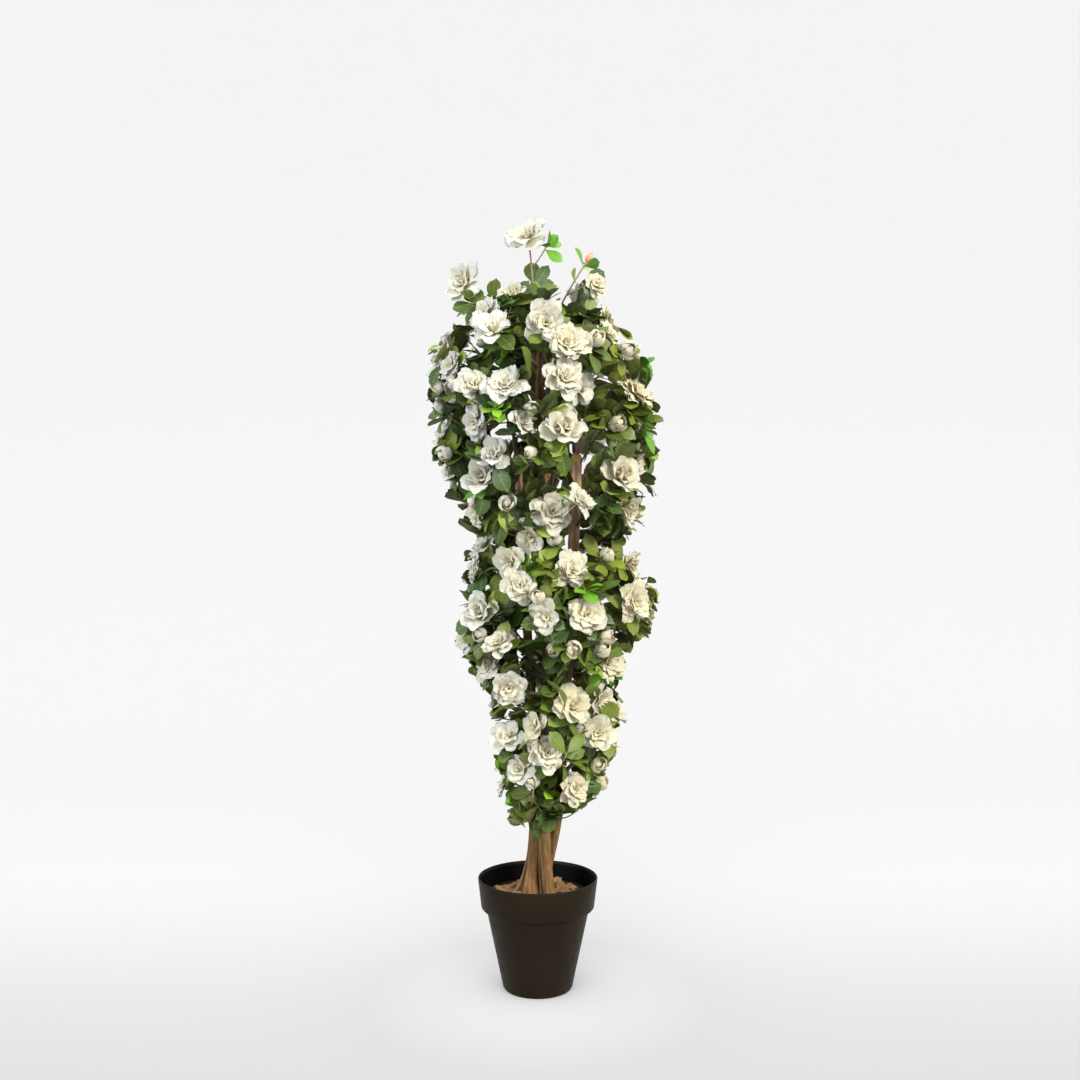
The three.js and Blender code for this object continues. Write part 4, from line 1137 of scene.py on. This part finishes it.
def lens_pattern(columns, rows):
    """A flat grid as a closed lens: across from -1 to 1, row number, side (1 upper, -1 lower, 0 rim), faces."""
    across = np.tile(np.linspace(-1, 1, columns + 1), rows + 1)
    row = np.repeat(np.arange(rows + 1), columns + 1)
    upper = np.arange(len(row)).reshape(rows + 1, columns + 1)
    inner = upper[1:-1, 1:-1]
    lower = upper.copy()
    lower[1:-1, 1:-1] = len(row) + np.arange(inner.size).reshape(inner.shape)
    side = np.zeros(len(row))
    side[inner.ravel()] = 1
    quads = [
        np.stack([grid[:-1, :-1], grid[:-1, 1:], grid[1:, 1:], grid[1:, :-1]], axis=-1).reshape(-1, 4)
        for grid in (upper, lower)
    ]
    across = np.concatenate([across, across[inner.ravel()]])
    row = np.concatenate([row, row[inner.ravel()]])
    side = np.concatenate([side, -np.ones(inner.size)])
    return across, row, side, np.concatenate([quads[0], quads[1][:, ::-1]])


def sharpen_rims(piece, on_rim):
    """Marks the edges that run along a rim, so that each side of a thin sheet is shaded by its own faces."""
    corners = np.zeros(2 * len(piece.data.edges), dtype=np.int32)
    piece.data.edges.foreach_get("vertices", corners)
    sharp = piece.data.attributes.new("sharp_edge", "BOOLEAN", "EDGE")
    sharp.data.foreach_set("value", np.asarray(on_rim)[corners.reshape(-1, 2)].all(axis=1))


def add_uv(piece, uv):
    layer = piece.data.uv_layers.new(name="printed")
    corner = np.zeros(len(piece.data.loops), dtype=np.int32)
    piece.data.loops.foreach_get("vertex_index", corner)
    layer.data.foreach_set("uv", np.asarray(uv, dtype=np.float32)[corner].ravel())


across, row, side, leaf_quads = lens_pattern(LEAF_COLUMNS, len(LEAF_ROWS_AT) - 1)
along_share = LEAF_ROWS_AT[row]
half_width = LEAF_WIDTHS[row] * LEAF_WIDTH / 2


def leaf_points(root, along, face, length, size, droop):
    wave = leaf_chance.uniform(0, 6.28, 2)
    fold, curl = leaf_chance.uniform(0.05, 0.3), leaf_chance.normal(0, 0.5)
    x = across * half_width * size
    y = length * along_share * (1 - 0.05 * across**2 * along_share**2)
    z = LEAF_THICK / 2 * side + fold * np.abs(x) - droop * along_share**1.8
    z += 0.9 * along_share * across * np.sin(5 * along_share + wave[0]) + 0.35 * x * curl * along_share
    x = x + 1.6 * np.sin(2.6 * along_share + wave[1]) * along_share
    return root + np.outer(x, np.cross(along, face)) + np.outer(y, along) + np.outer(z, face)


def leaf_veins_group():
    """A shared group: the pressed midrib and side veins of a leaf, from its printed coordinates."""
    group = bpy.data.node_groups.new("leaf_veins", "ShaderNodeTree")
    for name in ("Midrib", "Veins"):
        group.interface.new_socket(name, in_out="OUTPUT", socket_type="NodeSocketFloat")
    found = group.nodes.new("NodeGroupOutput").inputs
    printed = node(group, "SeparateXYZ", {0: node(group, "UVMap", uv_map="printed").outputs[0]}).outputs

    def maths(operation, first, second=0.0):
        return node(group, "Math", {0: first, 1: second}, operation=operation).outputs[0]

    off_middle = maths("ABSOLUTE", maths("SUBTRACT", printed["X"], 0.5))
    midrib = maths("SUBTRACT", 1.0, maths("MULTIPLY", off_middle, 22.0))
    group.links.new(maths("MAXIMUM", midrib, 0.0), found["Midrib"])
    climb = maths("SUBTRACT", printed["Y"], maths("MULTIPLY", off_middle, 0.42))
    wave = maths("MULTIPLY", maths("SINE", maths("MULTIPLY", climb, 44.0)), 3.0)
    group.links.new(maths("MAXIMUM", maths("SUBTRACT", wave, 2.1), 0.0), found["Veins"])
    return group


VEINS = leaf_veins_group()


def silk(name, dark, middle, pale, cool, roughness, vein_colour):
    material, tree, shader = new_material(name, roughness, 0.28)
    tone, veins = attribute_of(tree, "tone"), node(tree, "Group", node_tree=VEINS).outputs
    colour = dark
    for mask, low, high, other in (
        (tone, 0.0, 2.0, middle), (tone, -1.0, 1.0, pale), (attribute_of(tree, "cool"), 0.0, 0.62, cool),
        (mottle(tree, 60, 0.4, 0.7), 0.0, 0.35, dark),
        (veins["Veins"], 0.0, 0.25, vein_colour), (veins["Midrib"], 0.0, 0.55, vein_colour),
    ):
        colour = blend(tree, remap(tree, mask, low, high), colour, other)
    pressed = node(tree, "Math", {0: veins["Veins"], 1: veins["Midrib"]}, operation="ADD")
    coat(tree, shader, colour, pressed.outputs[0], -0.35, 0.0006)
    return material


# Each silk: dark, middle, pale and cool colours, roughness and the veins' colour. The pale colour also serves as
# painted light on the right, and the cool one as painted shade on the left.
SILKS = [silk(*cloth) for cloth in (
    ("olive_silk", (0.012, 0.033, 0.005), (0.125, 0.165, 0.012), (0.27, 0.325, 0.036), (0.036, 0.086, 0.020), 0.44,
     (0.20, 0.24, 0.09)),
    ("grey_olive_silk", (0.032, 0.054, 0.012), (0.130, 0.150, 0.024), (0.27, 0.28, 0.066), (0.105, 0.142, 0.044), 0.75,
     (0.18, 0.19, 0.09)),
    ("bright_silk", (0.05, 0.19, 0.010), (0.16, 0.33, 0.015), (0.30, 0.45, 0.03), (0.07, 0.27, 0.018), 0.44,
     (0.26, 0.40, 0.08)),
    ("pale_bright_silk", (0.06, 0.15, 0.02), (0.15, 0.25, 0.03), (0.26, 0.35, 0.07), (0.08, 0.20, 0.04), 0.75,
     (0.24, 0.33, 0.09)),
)]


def leaf_piece(name, chosen, materials):
    points = np.concatenate([leaf_points(*leaf[:6]) for leaf in chosen])
    quads = (leaf_quads[None] + (np.arange(len(chosen)) * len(across))[:, None, None]).reshape(-1, 4)
    tone, cool = np.repeat([(leaf[6] % 2, leaf[7]) for leaf in chosen], len(across), axis=0).T
    piece = joined_piece(name, points, quads, materials, tone=tone, cool=cool)
    under = np.tile(np.arange(len(leaf_quads)) >= len(leaf_quads) // 2, len(chosen))
    piece.data.polygons.foreach_set("material_index", under.astype(np.int32))
    sharpen_rims(piece, np.tile(side == 0, len(chosen)))
    add_uv(piece, np.tile(np.stack([(across + 1) / 2, along_share], axis=1), (len(chosen), 1)))
    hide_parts(*FOLIAGE_NODES)


grown = [leaf for leaf in leaves if leaf[6] < 1.5]
for i in range(0, len(grown), LEAVES_A_PIECE):
    leaf_piece(f"olive_leaves_{i // LEAVES_A_PIECE + 1}", grown[i:i + LEAVES_A_PIECE], SILKS[:2])
leaf_piece("young_leaves", [leaf for leaf in leaves if leaf[6] >= 1.5], SILKS[2:])

# ---- Blooms and buds ----
# Double white blooms of cut cloth. Some have five broad flat petals round a small crumpled tuft, some are full
# and ruffled all through, some only half open. A bud is wrapped in three petals and lets three more show.
PETAL_THICK, PROFILE_STEPS = 0.5, 40
PETAL_LENGTHS, PETAL_WIDTHS, PETAL_LEAN, PETAL_TURN = (0.78, 1.1), (0.88, 1.08), 9, 0.32
# Each layer: how many petals, length, half width, angle from the axis at the root and at the rim, root radius,
# root height, long waves, rough rim, columns and rows of faces.
BROAD = [
    (5, 35, 15.0, 60, 96, 2.5, 1.5, 2.2, 0.5, 6, 5), (3, 28, 13.0, 52, 88, 2.4, 3.0, 2.6, 0.7, 6, 5),
    (5, 18, 8.0, 34, 74, 2.0, 4.2, 2.4, 0.9, 4, 4), (4, 12, 5.5, 8, 50, 1.2, 5.0, 1.8, 0.9, 4, 4),
]
FULL = [
    (6, 32, 13.0, 64, 100, 2.5, 1.5, 2.4, 0.7, 6, 5), (6, 28, 12.0, 56, 92, 2.4, 3.0, 2.6, 0.8, 6, 5),
    (6, 23, 10.5, 46, 84, 2.2, 4.4, 2.4, 0.8, 4, 4), (6, 17, 8.5, 32, 70, 1.8, 5.6, 2.2, 0.8, 4, 4),
    (4, 11, 6.0, 8, 48, 1.2, 6.4, 1.6, 0.7, 4, 4),
]
HALF_OPEN = [
    (5, 35, 15.0, 40, 70, 2.5, 1.0, 2.2, 0.6, 6, 5), (5, 30, 13.0, 30, 60, 2.2, 2.5, 2.4, 0.7, 6, 5),
    (5, 24, 10.0, 16, 48, 1.8, 4.0, 2.2, 0.8, 4, 4), (3, 16, 7.0, 2, 30, 1.0, 5.0, 1.8, 0.8, 4, 4),
]
BUD = [
    (3, 31, 13.0, 74, -48, 1.5, 0, 0.5, 0.15, 6, 5), (3, 30, 12.5, 66, -58, 1.2, 1.4, 0.9, 0.3, 6, 5),
]
BUD_CORE, BUD_CORE_FROM, BUD_CORE_TO = 7.2, 2.0, 22.0


def bloom_pattern(layers, draw, wrap=0.0):
    """Points round an upright axis, faces, and for each point its place along the petal, layer and rim."""
    petals, first = [], 0
    for depth, layer in enumerate(layers):
        count, length, half, start, end, root_radius, root_height, wave, rough, columns, rows = layer
        u, row, side, quads = lens_pattern(columns, rows)
        column = np.rint((u + 1) / 2 * columns).astype(int)
        s = row / rows
        first_turn = draw.uniform(0, 6.28)
        for i in range(count):
            tilt = draw.normal(0, 10 - 7 * wrap)
            a0, a1 = (math.radians(a + tilt + draw.uniform(-PETAL_LEAN, PETAL_LEAN)) for a in (start, end))
            long = length * draw.uniform(*PETAL_LENGTHS)
            fine = np.linspace(0, 1, PROFILE_STEPS + 1)
            angle = a0 + (a1 - a0) * fine**1.2
            middle = (angle[1:] + angle[:-1]) / 2
            radial, height = (
                np.concatenate([[0], np.cumsum(part(middle))]) / PROFILE_STEPS for part in (np.sin, np.cos)
            )
            frayed = draw.normal(0, 1, (rows + 1, columns + 1))[row, column]
            edge = s * (0.15 + draw.uniform(-0.05, 0.05)) * u**2 + s * 0.045 * rough * frayed
            reach = s * (1 - edge)
            r = root_radius + long * np.interp(reach, fine, radial)
            h = root_height + long * np.interp(reach, fine, height)
            lean = np.interp(reach, fine, angle)
            broad = 0.3 + 0.7 * np.sin(math.pi / 2 * np.minimum(1, s / 0.66))
            wide = half * draw.uniform(*PETAL_WIDTHS) * broad * (1 - 0.34 * np.maximum(0, (s - 0.72) / 0.28) ** 1.5)
            phase = draw.uniform(0, 6.28, 3)
            lift = wave * s**1.4 * (np.sin(2.6 * u + phase[0]) + 0.5 * np.sin(5.2 * u + phase[1] + 2 * s))
            crumpled = draw.normal(0, 1, (rows + 1, columns + 1))[row, column]
            lift += 0.3 * wave * np.sin(7 * s + phase[2]) * s + rough * s**2 * crumpled
            lift += 0.10 * half * u**2 * s + 0.10 * wide * u + side * PETAL_THICK / 2
            r = r - lift * np.cos(lean)
            h = h + lift * np.sin(lean)
            turn = first_turn + 2 * math.pi * i / count + draw.uniform(-PETAL_TURN, PETAL_TURN)
            round_axis = turn + wrap * np.clip(wide * u / np.maximum(np.abs(r), 7.5), -1.5, 1.5)
            flat = (1 - wrap) * wide * u
            points = np.stack([
                r * np.cos(round_axis) - flat * math.sin(turn), r * np.sin(round_axis) + flat * math.cos(turn), h,
            ], axis=1)
            petals.append((points, quads + first, s, np.full(len(u), depth / max(1, len(layers) - 1)), side == 0))
            first += len(u)
    return [np.concatenate(part) for part in zip(*petals)]


petal_chance = np.random.default_rng(5)
OPEN_BLOOMS = [bloom_pattern(layers, petal_chance) for layers in (BROAD, FULL, HALF_OPEN, FULL, BROAD, FULL)]
BUDS = []
for _ in range(3):
    bud_points, bud_quads, *bud_values = bloom_pattern(BUD, petal_chance, wrap=1.0)
    # A crumpled roll of cloth fills the bud.
    share = np.linspace(0, 1, 9)
    core_radii = 0.6 + BUD_CORE * np.sin(math.pi * (0.06 + 0.86 * share)) ** 0.6
    core, core_quads = tube(np.outer(BUD_CORE_FROM + (BUD_CORE_TO - BUD_CORE_FROM) * share, UP), core_radii, 12)
    core += petal_chance.normal(0, 1.0, core.shape)
    BUDS.append([np.concatenate([bud_points, core]), np.concatenate([bud_quads, core_quads + len(bud_points)])] + [
        np.concatenate([values, np.full(len(core), value)]) for values, value in zip(bud_values, (0.7, 0.8, False))
    ])

cloth, cloth_tree, cloth_shader = new_material("white_petal_cloth", 0.72)
# Painted light: blooms further right are warm cream as if lit, and those further left are cool grey as if in shade,
# with some random spread.
white_with_painted_light = blend(cloth_tree, attribute_of(cloth_tree, "warm"), (0.435, 0.458, 0.462), (0.485, 0.455, 0.322))
rooted = blend(cloth_tree, attribute_of(cloth_tree, "out"), (0.49, 0.455, 0.30), white_with_painted_light)
heart_mask = remap(cloth_tree, attribute_of(cloth_tree, "heart"), 0.0, 0.45)
hearted = blend(cloth_tree, heart_mask, rooted, (0.58, 0.515, 0.315))
coat(cloth_tree, cloth_shader, hearted, mottle(cloth_tree, 1800, 0.3, 0.7, detail=2), 0.2, 0.0003)
cloth_shader.inputs["Subsurface Weight"].default_value = 0.8
cloth_shader.inputs["Subsurface Radius"].default_value = (1.0, 0.95, 0.85)
cloth_shader.inputs["Subsurface Scale"].default_value = 0.0016


def bloom_piece(name, shoots, patterns, sizes):
    parts, first = [], 0
    for shoot, size in zip(shoots, sizes):
        local, faces, out, heart, rim = patterns[0 if shoot.get("broad") else petal_chance.integers(len(patterns))]
        along, roll = shoot["along"], petal_chance.uniform(0, 6.28)
        across_way, up_way = sideways(along, roll), sideways(along, roll + math.pi / 2)
        placed = shoot["to"] + size * (
            np.outer(local[:, 0], across_way) + np.outer(local[:, 1], up_way) + np.outer(local[:, 2], along)
        )
        # Painted light: the further right a bloom stands, the warmer its colour.
        warm = np.clip(0.5 + shoot["to"][0] / 260 + petal_chance.normal(0, 0.15), 0, 1)
        parts.append((placed, faces + first, out, heart, rim, np.full(len(local), warm)))
        first += len(local)
    points, quads, out, heart, rims, warm = (np.concatenate(part) for part in zip(*parts))
    piece = joined_piece(name, points, quads, [cloth], out=out, heart=heart, warm=warm)
    sharpen_rims(piece, rims)
    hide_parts(*FOLIAGE_NODES)


BLOOMS_A_PIECE, PATTERN_RADIUS, BUD_SIZES = 60, 32.5, (0.85, 1.05)
wide_open = [shoot for shoot in IN_BLOOM if shoot["size"] > 20]
in_bud = [shoot for shoot in IN_BLOOM if shoot["size"] < 20]
for i in range(0, len(wide_open), BLOOMS_A_PIECE):
    some = wide_open[i:i + BLOOMS_A_PIECE]
    sizes = [shoot["size"] / PATTERN_RADIUS for shoot in some]
    bloom_piece(f"white_blooms_{i // BLOOMS_A_PIECE + 1}", some, OPEN_BLOOMS, sizes)
bloom_piece("white_buds", in_bud, BUDS, [petal_chance.uniform(*BUD_SIZES) for _ in in_bud])

# The one red-orange bud, still closed, on the right-hand sprig.
RED_LENGTH, RED_ROOT, RED_SWELL = 19, 0.4, 5.0
red_cloth = mottled("red_orange_cloth", 0.7, (120, 0.35, 0.65), (0.62, 0.16, 0.06), (0.72, 0.34, 0.18))
red_tip = next(tip for tip in bloom_tips if tip.get("bears") == "red bud")
steps = np.linspace(0, 1, 8)
red_bud = joined_tubes("red_bud", [tube(
    red_tip["to"] + np.outer(RED_LENGTH * steps, red_tip["along"]),
    RED_ROOT + RED_SWELL * np.sin(math.pi * steps**0.8), 10,
)], red_cloth)
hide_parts("foliage_top_right")

# A green cup at the root of each bloom and bud: steps along it and their radii.
CUP_STEPS, CUP_RADII, BUD_CUP = np.array([-4.5, -2.0, 0.5, 3.0]), np.array([1.2, 2.6, 3.6, 4.2]), 0.8
green_cup = mottled("green_cup", 0.55, (200,), (0.085, 0.12, 0.025), (0.16, 0.20, 0.05))
cups = []
for shoot in IN_BLOOM:
    size = BUD_CUP if shoot["size"] < 20 else 1.0
    cups.append(tube(shoot["to"] + np.outer(CUP_STEPS * size, shoot["along"]), CUP_RADII * size, 8))
green_cups = joined_tubes("green_cups", cups, green_cup)
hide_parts(*FOLIAGE_NODES)
